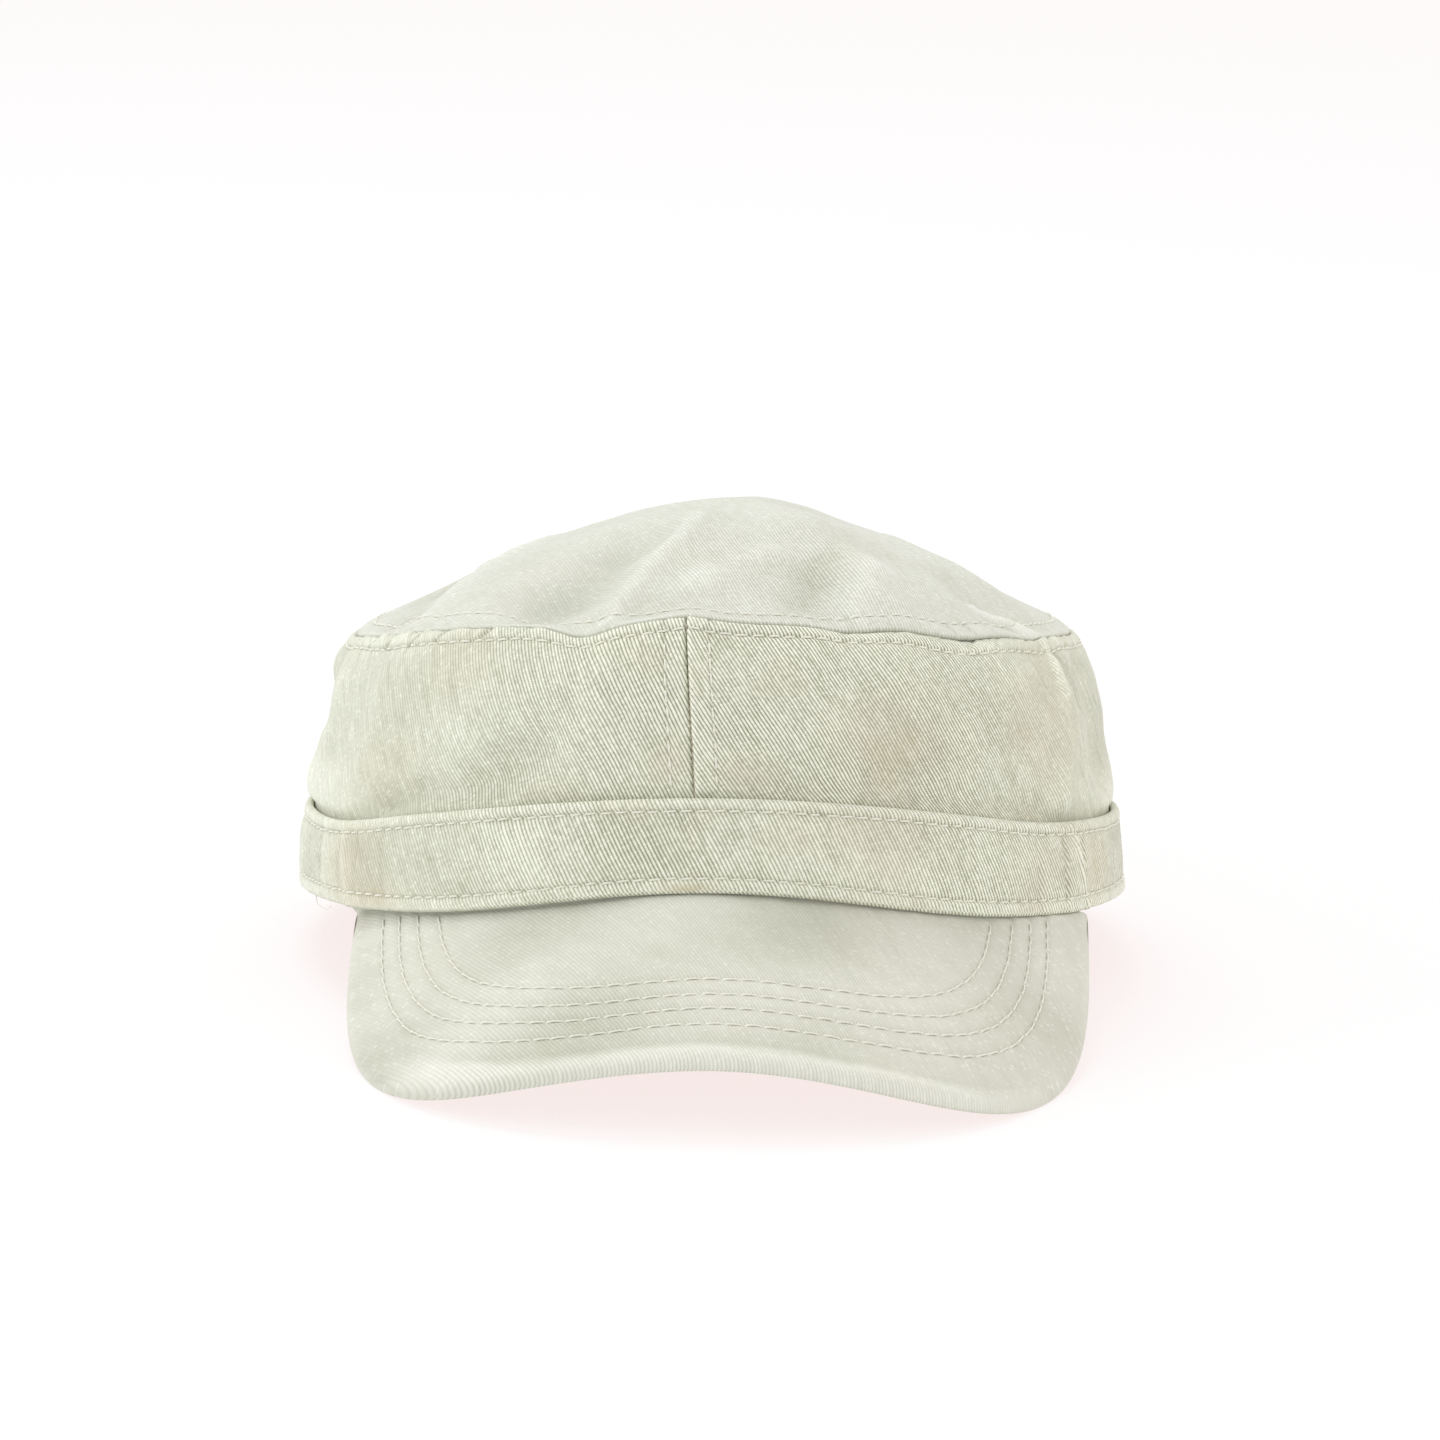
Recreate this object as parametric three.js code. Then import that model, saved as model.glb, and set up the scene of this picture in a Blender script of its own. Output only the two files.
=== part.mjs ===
// Cadet cap of washed cotton twill, in millimetres, +Z up, with the front facing -Y.
//
// Every shape is worked out as the cap is worn: the foot of the band is level near z = 0 and an
// angle round the head is 0 at the front and 90 degrees at +X. The whole cap is then set down on a
// flat surface, where it rests on the back of its band and on the two corners of its peak.
import * as THREE from "three";

const { Vector2, Vector3 } = THREE;
const { sin, cos, tan, asin, atan2, abs, max, sqrt, hypot, exp, PI } = Math;
const { lerp, clamp, degToRad, radToDeg, euclideanModulo } = THREE.MathUtils;

// Cloth
const CLOTH = 1.6; // thickness of a cloth wall, with its hems and seam allowances averaged in
const GAP = 0.3; // clearance between two pieces that meet
const TWILL = { color: 0xd9d8c8, roughness: 0.95, metalness: 0 };

// Outlines of the cap's outside: heights at the front, side and back, then reach from the centre.
const OUTLINES = {
  foot: { zFront: 8.8, zSide: 0, zBack: 0, halfWidth: 90.5, front: 98, back: 98 },
  bandTop: { zFront: 28.4, zSide: 18.3, zBack: 19, halfWidth: 89.5, front: 96.5, back: 96.5 },
  seam: { zFront: 64, zSide: 57, zBack: 54, halfWidth: 79, front: 84, back: 83 },
};
const FOOT_ARCH_POWER = 6; // how tightly the foot arches up over the middle of the peak
const TOP_ARCH_POWER = 3; // the same for the upper edge of the band
const BAND_BULGE = 0.8; // how far the band swells between its two edges

// Crown
const APEX = { x: 8, y: 3, z: 84.7 };
const WALL_LEAN = { even: 0.25, shoulderPower: 4.6 }; // the wall leans in evenly, then rounds in at the seam
const WALL_TUCK = 0.2; // the side panels reach down behind the band to this share of its height
const FRONT_SEAM = { foot: -3.4, top: -5.4 }; // x of the seam where the side panels meet in front

// Dips of the top seam, on the angle round the head in degrees.
const SEAM_DIPS = [
  { name: "left of front", angle: -20, width: 5, depth: 2.6 },
  { name: "left corner", angle: -62, width: 9, depth: 0.6 },
  { name: "right of front", angle: 21, width: 5, depth: 1.6 },
  { name: "right half", angle: 41, width: 8, depth: 2 },
  { name: "right corner", angle: 60, width: 6, depth: 0.8 },
  { name: "lift at the front seam", angle: -4, width: 6, depth: -1.3 },
  { name: "left side", angle: -88, width: 22, depth: 1.8 },
  { name: "back left", angle: -148, width: 9, depth: 1.8 },
  { name: "back right", angle: 135, width: 8, depth: 1.6 },
];

// Folds of the top panel between two plan points: a ridge, or a hollow where the height is negative.
const TOP_FOLDS = [
  { name: "front ridge", from: [-25, -78], to: [-4, -24], width: 6, height: 3 },
  { name: "hollow beside the front ridge", from: [-36, -72], to: [-18, -34], width: 11, height: -3.4 },
  { name: "hollow in front", from: [4, -70], to: [14, -34], width: 11, height: -1.6 },
  { name: "right ridge", from: [38, -60], to: [22, -20], width: 7, height: 1.6 },
  { name: "right corner ridge", from: [72, -34], to: [40, -4], width: 6, height: 1.6 },
  { name: "slack on the right", from: [32, 0], to: [50, 4], width: 18, height: -2.4 },
  { name: "crest", from: [4, 2], to: [14, 4], width: 14, height: 1.3 },
  { name: "back hollow", from: [-20, 66], to: [6, 32], width: 12, height: -2.4 },
  { name: "back ridge", from: [34, 62], to: [18, 30], width: 8, height: 1.8 },
];

// Folds of the side panels between two places given as [angle round the head in degrees, height
// above the band]: they stand out of the wall by swell, or sink into it where swell is negative.
const WALL_FOLDS = [
  { name: "slanted hollow at the left", from: [-40, 0], to: [-24, 13], width: 6, swell: -2 },
  { name: "hollow above the band", from: [16, 2], to: [44, 2], width: 6, swell: -1.2 },
  { name: "ridge at the right", from: [60, 2], to: [64, 34], width: 5, swell: 1.4 },
  { name: "hollow behind that ridge", from: [76, 8], to: [74, 32], width: 5, swell: -1.8 },
  { name: "notch at the left side", from: [-94, 20], to: [-82, 24], width: 6, swell: -3 },
  { name: "swell above the notch", from: [-96, 32], to: [-90, 31], width: 6, swell: 1 },
  { name: "hollow at the back left", from: [-150, 4], to: [-132, 24], width: 8, swell: -2 },
  { name: "hollow at the back right", from: [140, 6], to: [126, 26], width: 8, swell: -1.8 },
];

// Dips of the upper edge of the band, on the angle round the head in degrees.
const BAND_DIPS = [
  { name: "left end of the peak", angle: -64, width: 14, depth: 1.4 },
  { name: "right end of the peak", angle: 50, width: 10, depth: 0.5 },
];

// Creases of the band where the stiff peak lets go of it.
const BAND_CREASES = [
  { name: "left end of the peak", angle: -56, width: 4, swell: 1.2 },
  { name: "right end of the peak", angle: 58, width: 4, swell: 1.2 },
];

// Peak, whose plan outline is half of a rounded square
const PEAK = {
  halfWidth: 78.3,
  centreReach: 55, // plan reach of the widest place
  frontReach: 145.4,
  squareness: 2.9, // exponent of the plan outline
  shift: 2.3, // how far the widest place lies to the right of the front edge
  slope: 0.554, // fall per millimetre forward
  arch: 0.0058, // fall per square millimetre to the side
  twist: 0.021, // how much more the right side falls at the front, per millimetre to the side
  thickness: 3.4,
};

// How the cap lies: the surface under it slopes by these angles against the worn cap, in degrees,
// so that it touches the back of the foot and both corners of the peak.
const LIE = { forward: 8.208, sideways: -0.81 };
const SAG = { flat: 28, free: 72 }; // degrees from the back up to which the foot is flat, and free again

// Divisions of the faceted surfaces
const AROUND = 88;
const BAND_ROWS = [0.12, 0.5, 0.9];
const TUCK_ROWS = [WALL_TUCK, 0.6];
const WALL_ROWS = [0, 0.15, 0.32, 0.48, 0.62, 0.74, 0.84, 0.92, 1];
const TOP_ROWS = 12;
const PEAK_COLUMNS = 40;
const PEAK_ROWS = [0, 0.17, 0.34, 0.51, 0.68, 0.84, 0.95, 0.985, 1];
const NORMAL_STEP = 1e-3; // step of the parameters from which a surface's normal is measured
const WELD = 1e4; // points that agree to this many parts of a millimetre are one

const smooth = (share) => clamp(share, 0, 1) ** 2 * (3 - 2 * clamp(share, 0, 1));
const steps = (count, from, to) => Array.from({ length: count }, (_, i) => lerp(from, to, i / count));
const total = (list, value) => list.reduce((sum, item) => sum + value(item), 0);

// A point on an oval whose front and back halves may reach differently, moved inwards by inset.
function oval(angle, { halfWidth, front, back }, inset = 0) {
  const reach = cos(angle) > 0 ? front : back;
  const outward = new Vector2(sin(angle) / halfWidth, -cos(angle) / reach).normalize();
  return new Vector2(halfWidth * sin(angle), -reach * cos(angle)).addScaledVector(outward, -inset);
}

// Height of an outline at an angle, between its side and its front or back.
function heightAt(angle, { zFront, zSide, zBack }, frontPower = 2) {
  const isFront = cos(angle) > 0;
  return lerp(zSide, isFront ? zFront : zBack, abs(cos(angle)) ** (isFront ? frontPower : 2));
}

// Share of a fold's height at a point near the line from one end of the fold to the other.
function foldShare(point, from, to, width) {
  const along = to.clone().sub(from);
  const t = clamp(point.clone().sub(from).dot(along) / along.lengthSq(), 0, 1);
  return exp(-((point.distanceTo(from.clone().addScaledVector(along, t)) / width) ** 2));
}

// Share of a wave that is centred on a given angle round the head.
function waveShare(angle, { angle: centre, width }) {
  const turn = euclideanModulo(radToDeg(angle) - centre + 180, 360) - 180;
  return exp(-((turn / width) ** 2));
}

const dipAt = (angle, dips) => total(dips, (dip) => dip.depth * waveShare(angle, dip));
const bandTopHeight = (angle) => heightAt(angle, OUTLINES.bandTop, TOP_ARCH_POWER) - dipAt(angle, BAND_DIPS);
const seamHeight = (angle) => heightAt(angle, OUTLINES.seam) - dipAt(angle, SEAM_DIPS);
const creaseSwell = (angle) => total(BAND_CREASES, (crease) => crease.swell * waveShare(angle, crease));

// Height of the surface that the cap lies on, in the worn frame.
const surfaceAt = ({ x, y }) =>
  (y - OUTLINES.foot.back) * tan(degToRad(LIE.forward)) + x * tan(degToRad(LIE.sideways));

// Height of the foot of the band, which sags to that surface round the back.
function footHeight(angle, place) {
  const fromBack = radToDeg(PI - abs(euclideanModulo(angle + PI, 2 * PI) - PI));
  const free = smooth((fromBack - SAG.flat) / (SAG.free - SAG.flat));
  return lerp(surfaceAt(place), heightAt(angle, OUTLINES.foot, FOOT_ARCH_POWER), free);
}

// A place in the thickness of the band, with rise 0 at its foot and 1 at its upper edge.
function bandPoint(angle, rise, inset = 0) {
  const swell = BAND_BULGE * sin(PI * rise) + creaseSwell(angle) * lerp(1, 0.4, rise);
  const low = oval(angle, OUTLINES.foot, inset - swell);
  const plan = low.clone().lerp(oval(angle, OUTLINES.bandTop, inset - swell), rise);
  return new Vector3(plan.x, plan.y, lerp(footHeight(angle, low), bandTopHeight(angle), rise));
}

// Outside of a side panel where it is tucked behind the band.
function tuckPoint(angle, rise, inset) {
  const low = oval(angle, OUTLINES.foot, inset);
  const plan = low.clone().lerp(oval(angle, OUTLINES.bandTop, inset), rise);
  return new Vector3(plan.x, plan.y, lerp(footHeight(angle, low), bandTopHeight(angle), rise));
}

// Outside of the side wall, with rise 0 at the upper edge of the band and 1 at the top seam.
function wallPoint(angle, rise) {
  const { even, shoulderPower } = WALL_LEAN;
  const lean = even * rise + (1 - even) * max(rise, 0) ** shoulderPower;
  const low = bandTopHeight(angle);
  const high = seamHeight(angle);
  const unrolled = (turn, above) => new Vector2(turn * OUTLINES.bandTop.halfWidth, above);
  const here = unrolled(angle, rise * (high - low));
  const end = ([degrees, above]) => unrolled(degToRad(degrees), above);
  const folds = total(WALL_FOLDS, (f) => f.swell * foldShare(here, end(f.from), end(f.to), f.width));
  const creases = creaseSwell(angle) * 0.6 * (1 - rise);
  const swell = (folds * smooth((1 - rise) / 0.15) + creases) * smooth(rise / 0.15);
  const foot = oval(angle, OUTLINES.bandTop, CLOTH + GAP - swell);
  const plan = foot.lerp(oval(angle, OUTLINES.seam, -swell), lean);
  return new Vector3(plan.x, plan.y, lerp(low, high, rise));
}

// Outside of the top panel, with reach 1 at the top seam and 0 at the apex.
function topPoint(angle, reach) {
  const plan = new Vector2(APEX.x, APEX.y).lerp(oval(angle, OUTLINES.seam), reach);
  const dome = lerp(APEX.z, seamHeight(angle), 1 - cos((PI / 2) * reach));
  const share = (f) => foldShare(plan, new Vector2(...f.from), new Vector2(...f.to), f.width);
  const folds = total(TOP_FOLDS, (f) => f.height * share(f));
  return new Vector3(plan.x, plan.y, dome + folds * smooth((1 - reach) / 0.12));
}

// Outward normal of a surface given by two parameters, where sense is 1 or -1.
function normalOf(surface, u, v, sense = 1) {
  const across = surface(u + NORMAL_STEP, v).sub(surface(u - NORMAL_STEP, v));
  const along = surface(u, v + NORMAL_STEP).sub(surface(u, v - NORMAL_STEP));
  return across.cross(along).normalize().multiplyScalar(sense);
}
const wallNormal = (angle, rise) => normalOf(wallPoint, angle, rise);
const topNormal = (angle, reach) => (reach > 0 ? normalOf(topPoint, angle, reach, -1) : new Vector3(0, 0, 1));

// Direction that splits the corner between the wall and the top panel, as long as its mitre needs.
function seamMitre(angle) {
  const wall = wallNormal(angle, 1);
  const split = wall.clone().add(topNormal(angle, 1)).normalize();
  return split.divideScalar(split.dot(wall));
}

// Closed body through loops of points. The loops close into a ring, or the first and the last are
// capped; then each loop lists one face of the cloth and comes back along the other face.
function loft(loops, isRing) {
  const positions = [];
  const faces = [];
  const known = new Map();
  const vertex = (point) => {
    const key = point.toArray().map((c) => Math.round(c * WELD)).join();
    if (!known.has(key)) {
      known.set(key, positions.length / 3);
      positions.push(...point.toArray());
    }
    return known.get(key);
  };
  const triangle = (...corners) => {
    if (new Set(corners).size === 3) faces.push(...corners);
  };
  const quad = (a, b, c, d) => {
    triangle(a, b, c);
    triangle(a, c, d);
  };
  const rings = loops.map((loop) => loop.map(vertex));
  const pairs = isRing ? rings.length : rings.length - 1;
  for (let i = 0; i < pairs; i++) {
    const here = rings[i];
    const next = rings[(i + 1) % rings.length];
    for (let j = 0; j < here.length; j++) {
      const k = (j + 1) % here.length;
      quad(here[j], next[j], next[k], here[k]);
    }
  }
  if (!isRing) {
    const ends = [rings[0], [...rings[rings.length - 1]].reverse()];
    for (const end of ends) {
      for (let j = 0; j < end.length / 2 - 1; j++) {
        quad(end[j], end[j + 1], end[end.length - 2 - j], end[end.length - 1 - j]);
      }
    }
  }
  const geometry = new THREE.BufferGeometry();
  geometry.setAttribute("position", new THREE.Float32BufferAttribute(positions, 3));
  geometry.setIndex(faces);
  geometry.computeVertexNormals();
  return geometry;
}

function piece(name, geometry) {
  const mesh = new THREE.Mesh(geometry, new THREE.MeshStandardMaterial(TWILL));
  mesh.name = name;
  return mesh;
}

// The band has a flat foot and a folded upper edge.
function makeBand() {
  const loops = steps(AROUND, 0, 2 * PI).map((angle) => {
    const at = (inset) => (rise) => bandPoint(angle, rise, inset);
    const outside = BAND_ROWS.map(at(0));
    const inside = BAND_ROWS.map(at(CLOTH)).reverse();
    return [at(0)(0), ...outside, at(CLOTH / 2)(1), ...inside, at(CLOTH)(0)];
  });
  return piece("band", loft(loops, true));
}

// A side panel runs between two seams, each an angle that may change with the rise.
function makeSidePanel(name, fromSeam, toSeam) {
  const height = OUTLINES.seam.zSide - OUTLINES.bandTop.zSide;
  const rises = WALL_ROWS.map((rise) => rise * (1 - GAP / 2 / height));
  const loops = [...steps(AROUND / 2, 0, 1), 1].map((share) => {
    const angleAt = (rise) => lerp(fromSeam(rise), toSeam(rise), share);
    const tucked = (inset) => TUCK_ROWS.map((rise) => tuckPoint(angleAt(0), rise, inset));
    const outside = rises.map((rise) => wallPoint(angleAt(rise), rise));
    const inside = rises.map((rise, row) => {
      const angle = angleAt(rise);
      const outward = row === rises.length - 1 ? seamMitre(angle) : wallNormal(angle, rise);
      return wallPoint(angle, rise).addScaledVector(outward, -CLOTH);
    });
    return [...tucked(CLOTH + GAP), ...outside, ...inside.reverse(), ...tucked(2 * CLOTH + GAP).reverse()];
  });
  return piece(name, loft(loops, false));
}

function makeTop() {
  const rim = 1 - GAP / 2 / OUTLINES.seam.halfWidth;
  const reaches = [...steps(TOP_ROWS, rim, 0), 0];
  const loops = steps(AROUND, 0, 2 * PI).map((angle) => {
    const outside = reaches.map((reach) => topPoint(angle, reach));
    const inside = reaches.map((reach, row) => {
      const outward = row === 0 ? seamMitre(angle) : topNormal(angle, reach);
      return topPoint(angle, reach).addScaledVector(outward, -CLOTH);
    });
    return [...outside, ...inside.reverse()];
  });
  return piece("crown_top", loft(loops, true));
}

// Plan reach of the peak's outline at a place across it.
function peakReach(x) {
  const { halfWidth, centreReach, frontReach, squareness } = PEAK;
  const share = max(0, 1 - (abs(x) / halfWidth) ** squareness) ** (1 / squareness);
  return lerp(centreReach, frontReach, share);
}

// Distance from a place on the peak to its outline, along the line from its centre.
function distanceToOutline(x, reach) {
  const { halfWidth, centreReach, frontReach, squareness } = PEAK;
  const ahead = max(0, reach - centreReach);
  const across = (abs(x) / halfWidth) ** squareness;
  const along = (ahead / (frontReach - centreReach)) ** squareness;
  return max(0, 1 - (across + along) ** (1 / squareness)) * hypot(x, ahead);
}

// The peak starts under the inner face of the band.
function rootReach(x) {
  const { halfWidth, front } = OUTLINES.foot;
  return (front - CLOTH) * sqrt(1 - (x / (halfWidth - CLOTH)) ** 2);
}

// A place on the peak's upper skin, or on its lower one, at a share of the way from root to edge.
// The peak is bent like a sheet round a cylinder that slopes forward, and meets the band's foot.
function peakPoint(x, row, isUpper) {
  const { front, halfWidth, zFront } = OUTLINES.foot;
  const { slope, arch, twist, shift, centreReach, frontReach, thickness } = PEAK;
  const root = rootReach(x);
  const reach = lerp(root, peakReach(x), row);
  const sheetAt = (place) => zFront - (place - front) * slope - arch * x * x;
  const rootAngle = atan2(x / halfWidth, root / front);
  const meet = footHeight(rootAngle, new Vector2(x, -root)) - GAP - sheetAt(root);
  const ahead = (reach - centreReach) / (frontReach - centreReach);
  const middle = sheetAt(reach) - twist * x * ahead + meet * (1 - row) ** 2 - thickness / 2;
  const inwards = clamp(distanceToOutline(x, reach) / (thickness / 2), 0, 1);
  const half = (thickness / 2) * sqrt(1 - (1 - inwards) ** 2);
  return new Vector3(x + shift * (1 - ahead), -reach, middle + (isUpper ? half : -half));
}

function makePeak() {
  const loops = [...steps(PEAK_COLUMNS, -PI / 2, PI / 2), PI / 2].map((turn) => {
    const x = PEAK.halfWidth * sin(turn);
    const skin = (isUpper) => PEAK_ROWS.map((row) => peakPoint(x, row, isUpper));
    return [...skin(true).reverse(), ...skin(false)];
  });
  return piece("peak", loft(loops, false));
}

// Angle of the front seam at a rise, half a gap to one side of it.
function frontSeam(rise, side) {
  const width = lerp(OUTLINES.bandTop.halfWidth, OUTLINES.seam.halfWidth, rise);
  return asin((lerp(FRONT_SEAM.foot, FRONT_SEAM.top, rise) + (side * GAP) / 2) / width);
}
const backSeam = (side) => side * (PI - GAP / 2 / OUTLINES.seam.back);

const cap = new THREE.Group();
cap.add(
  makeTop(),
  makeSidePanel("side_panel_right", (rise) => frontSeam(rise, 1), () => backSeam(1)),
  makeSidePanel("side_panel_left", () => backSeam(-1), (rise) => frontSeam(rise, -1)),
  makeBand(),
  makePeak(),
);

// Set down on the surface, with the origin on it under the middle of the cap.
const surfaceNormal = new Vector3(-tan(degToRad(LIE.sideways)), -tan(degToRad(LIE.forward)), 1).normalize();
cap.quaternion.setFromUnitVectors(surfaceNormal, new Vector3(0, 0, 1));
const box = new THREE.Box3().setFromObject(cap, true);
const middle = box.getCenter(new Vector3());
cap.position.set(-middle.x, -middle.y, -box.min.z);

const model = new THREE.Group();
model.add(cap);

export default model;
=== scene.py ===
"""Cadet cap of washed cotton twill: fine cloth surfaces, seams, stitches, materials and light.

Lengths are in millimetres until a mesh is made, and every surface is worked out as the cap is worn,
as in the part's source: the foot of the band is level near z = 0, and an angle round the head is 0
at the front and 90 degrees at +X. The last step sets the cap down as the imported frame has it.
"""

import math

import bpy
import numpy as np
from mathutils import Matrix, Vector


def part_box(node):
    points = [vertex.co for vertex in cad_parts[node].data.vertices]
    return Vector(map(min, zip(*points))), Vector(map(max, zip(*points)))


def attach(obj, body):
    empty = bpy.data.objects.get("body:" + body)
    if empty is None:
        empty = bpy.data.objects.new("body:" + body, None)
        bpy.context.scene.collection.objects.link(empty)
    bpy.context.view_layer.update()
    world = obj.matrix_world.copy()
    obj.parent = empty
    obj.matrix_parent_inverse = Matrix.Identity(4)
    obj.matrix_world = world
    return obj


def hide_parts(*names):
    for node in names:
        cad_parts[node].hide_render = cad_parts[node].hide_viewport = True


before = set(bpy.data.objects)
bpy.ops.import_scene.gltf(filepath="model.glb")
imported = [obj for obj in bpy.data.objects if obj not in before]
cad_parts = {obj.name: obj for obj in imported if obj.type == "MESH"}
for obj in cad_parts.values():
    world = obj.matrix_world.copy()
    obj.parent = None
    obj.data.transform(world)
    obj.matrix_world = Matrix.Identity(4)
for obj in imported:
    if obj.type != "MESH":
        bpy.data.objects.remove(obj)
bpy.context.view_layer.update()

MM = 0.001  # metres in a millimetre
SEED = 11

# Thickness of the cloth, room between two cloths, radius of a folded edge
CLOTH = 1.6
GAP = 0.3
FOLD_RADIUS = CLOTH / 2

# Outlines of the cap's outside: heights at the front, side and back, then reach from the centre
FOOT = dict(z_front=8.8, z_side=0, z_back=0, half_width=90.5, front=98, back=98)
BAND_TOP = dict(z_front=28.4, z_side=18.3, z_back=19, half_width=89.5, front=96.5, back=96.5)
SEAM = dict(z_front=64, z_side=57, z_back=54, half_width=79, front=84, back=83)
FOOT_ARCH_POWER = 6  # how late the foot rises towards the front
TOP_ARCH_POWER = 3  # the same for the band's upper edge
BAND_BULGE = 0.8

# Crown: its highest place, how the walls lean in, the rows of their cloth behind the band as shares
# of the band's height, and how far from the middle the front seam stands at its foot and top
APEX = dict(x=8, y=3, z=84.7)
WALL_EVEN_LEAN = 0.25
WALL_SHOULDER_POWER = 4.6
TUCK_RISES = [0.2, 0.4, 0.6, 0.8]
FRONT_SEAM_FOOT = -3.4
FRONT_SEAM_TOP = -5.4

# Dips of the top seam and of the band's upper edge, and creases of the band: angle, width, depth
SEAM_DIPS = [
    (-20, 5, 2.6),
    (-62, 9, 0.6),
    (21, 5, 1.1),
    (41, 8, 1.1),
    (60, 6, 0.8),
    (-4, 6, -1.3),
    (-88, 22, 1.8),
    (-148, 9, 1.8),
    (135, 8, 1.6),
]
BAND_DIPS = [(-64, 14, 1.4), (50, 10, 0.5)]
BAND_CREASES = [(-56, 4, 1.2), (58, 4, 1.2)]

# Folds of the top panel between two plan points: from, to, width, height
TOP_FOLDS = [
    ((-25, -78), (-4, -24), 6, 3),
    ((-36, -72), (-18, -34), 11, -3.4),
    ((4, -70), (14, -34), 11, -1.6),
    ((38, -60), (22, -20), 7, 1.6),
    ((72, -34), (40, -4), 6, 1.6),
    ((32, 0), (50, 4), 18, -2.4),
    ((4, 2), (14, 4), 14, 1.3),
    ((-20, 66), (6, 32), 12, -2.4),
    ((34, 62), (18, 30), 8, 1.8),
]

# Folds of the side panels between two places given as angle and height above the band
WALL_FOLDS = [
    ((-40, 0), (-24, 13), 6, -2),
    ((16, 2), (44, 2), 6, -1.2),
    ((60, 2), (64, 34), 5, 1.4),
    ((76, 8), (74, 32), 5, -1.8),
    ((-94, 20), (-82, 24), 6, -3),
    ((-96, 32), (-90, 31), 6, 1),
    ((-150, 4), (-132, 24), 8, -2),
    ((140, 6), (126, 26), 8, -1.8),
]

PEAK = dict(
    half_width=78.3,
    centre_reach=55,
    front_reach=145.4,
    squareness=2.9,
    shift=2.3,
    slope=0.554,
    arch=0.0058,
    twist=0.021,
    thickness=3.4,
)
PEAK_LENGTH = PEAK["front_reach"] - PEAK["centre_reach"]

# How the cap lies, in degrees: slopes of the surface under it, and where the foot is flat on it
LIE_FORWARD = 8.208
LIE_SIDEWAYS = -0.81
SAG_FLAT = 28
SAG_FREE = 72


def smooth(share):
    c = np.clip(share, 0, 1)
    return c * c * (3 - 2 * c)


def mix(a, b, share):
    return a + (b - a) * share


def bell(distance, width):
    return np.exp(-((distance / width) ** 2))


def oval(angle, outline, inset=0.0):
    """Plan point on an oval outline, moved inwards by inset."""
    reach = np.where(np.cos(angle) > 0, outline["front"], outline["back"])
    half = outline["half_width"]
    out_x, out_y = np.sin(angle) / half, -np.cos(angle) / reach
    size = np.hypot(out_x, out_y)
    x = half * np.sin(angle) - inset * out_x / size
    y = -reach * np.cos(angle) - inset * out_y / size
    return x, y


def height_at(angle, outline, front_power=2):
    is_front = np.cos(angle) > 0
    end = np.where(is_front, outline["z_front"], outline["z_back"])
    power = np.where(is_front, front_power, 2)
    return mix(outline["z_side"], end, np.abs(np.cos(angle)) ** power)


def waves(angle, table):
    """Sum of the waves of a table of (centre, width, height), on the angle round the head."""
    out = np.zeros_like(angle)
    for centre, width, height in table:
        turn = np.mod(np.degrees(angle) - centre + 180, 360) - 180
        out = out + height * bell(turn, width)
    return out


def fold_share(x, y, start, end, width):
    ax, ay = end[0] - start[0], end[1] - start[1]
    t = np.clip(((x - start[0]) * ax + (y - start[1]) * ay) / (ax * ax + ay * ay), 0, 1)
    return bell(np.hypot(x - start[0] - t * ax, y - start[1] - t * ay), width)


def folds_at(x, y, table):
    """Sum of the folds of a table of (start, end, width, height) at places x, y."""
    total = np.zeros(np.broadcast(x, y).shape)
    for start, end, width, height in table:
        total = total + height * fold_share(x, y, start, end, width)
    return total


def on_wall(table):
    """The same table for the wall, with each angle made a length round the band."""
    radius = BAND_TOP["half_width"]
    ends = [[(math.radians(turn) * radius, up) for turn, up in row[:2]] for row in table]
    return [(*both, *row[2:]) for both, row in zip(ends, table)]


def band_top_height(angle):
    return height_at(angle, BAND_TOP, TOP_ARCH_POWER) - waves(angle, BAND_DIPS)


def seam_height(angle):
    return height_at(angle, SEAM) - waves(angle, SEAM_DIPS)


def surface_at(x, y):
    """Height of the surface that the cap lies on, in the worn frame."""
    forward, sideways = math.tan(math.radians(LIE_FORWARD)), math.tan(math.radians(LIE_SIDEWAYS))
    return (y - FOOT["back"]) * forward + x * sideways


def foot_height(angle, x, y):
    from_back = 180 - np.abs(np.degrees(np.mod(angle + np.pi, 2 * np.pi) - np.pi))
    free = smooth((from_back - SAG_FLAT) / (SAG_FREE - SAG_FLAT))
    return mix(surface_at(x, y), height_at(angle, FOOT, FOOT_ARCH_POWER), free)


def points(x, y, z):
    return np.stack(np.broadcast_arrays(x, y, z), -1).astype(float)


def band_point(angle, rise, inset=0.0, swollen=1):
    """Place on the band, moved inwards by inset; swollen is 0 for cloth that lies flat."""
    swell = BAND_BULGE * np.sin(np.pi * rise) + waves(angle, BAND_CREASES) * mix(1, 0.4, rise)
    x0, y0 = oval(angle, FOOT, inset - swell * swollen)
    x1, y1 = oval(angle, BAND_TOP, inset - swell * swollen)
    z = mix(foot_height(angle, x0, y0), band_top_height(angle), rise)
    return points(mix(x0, x1, rise), mix(y0, y1, rise), z)


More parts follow.
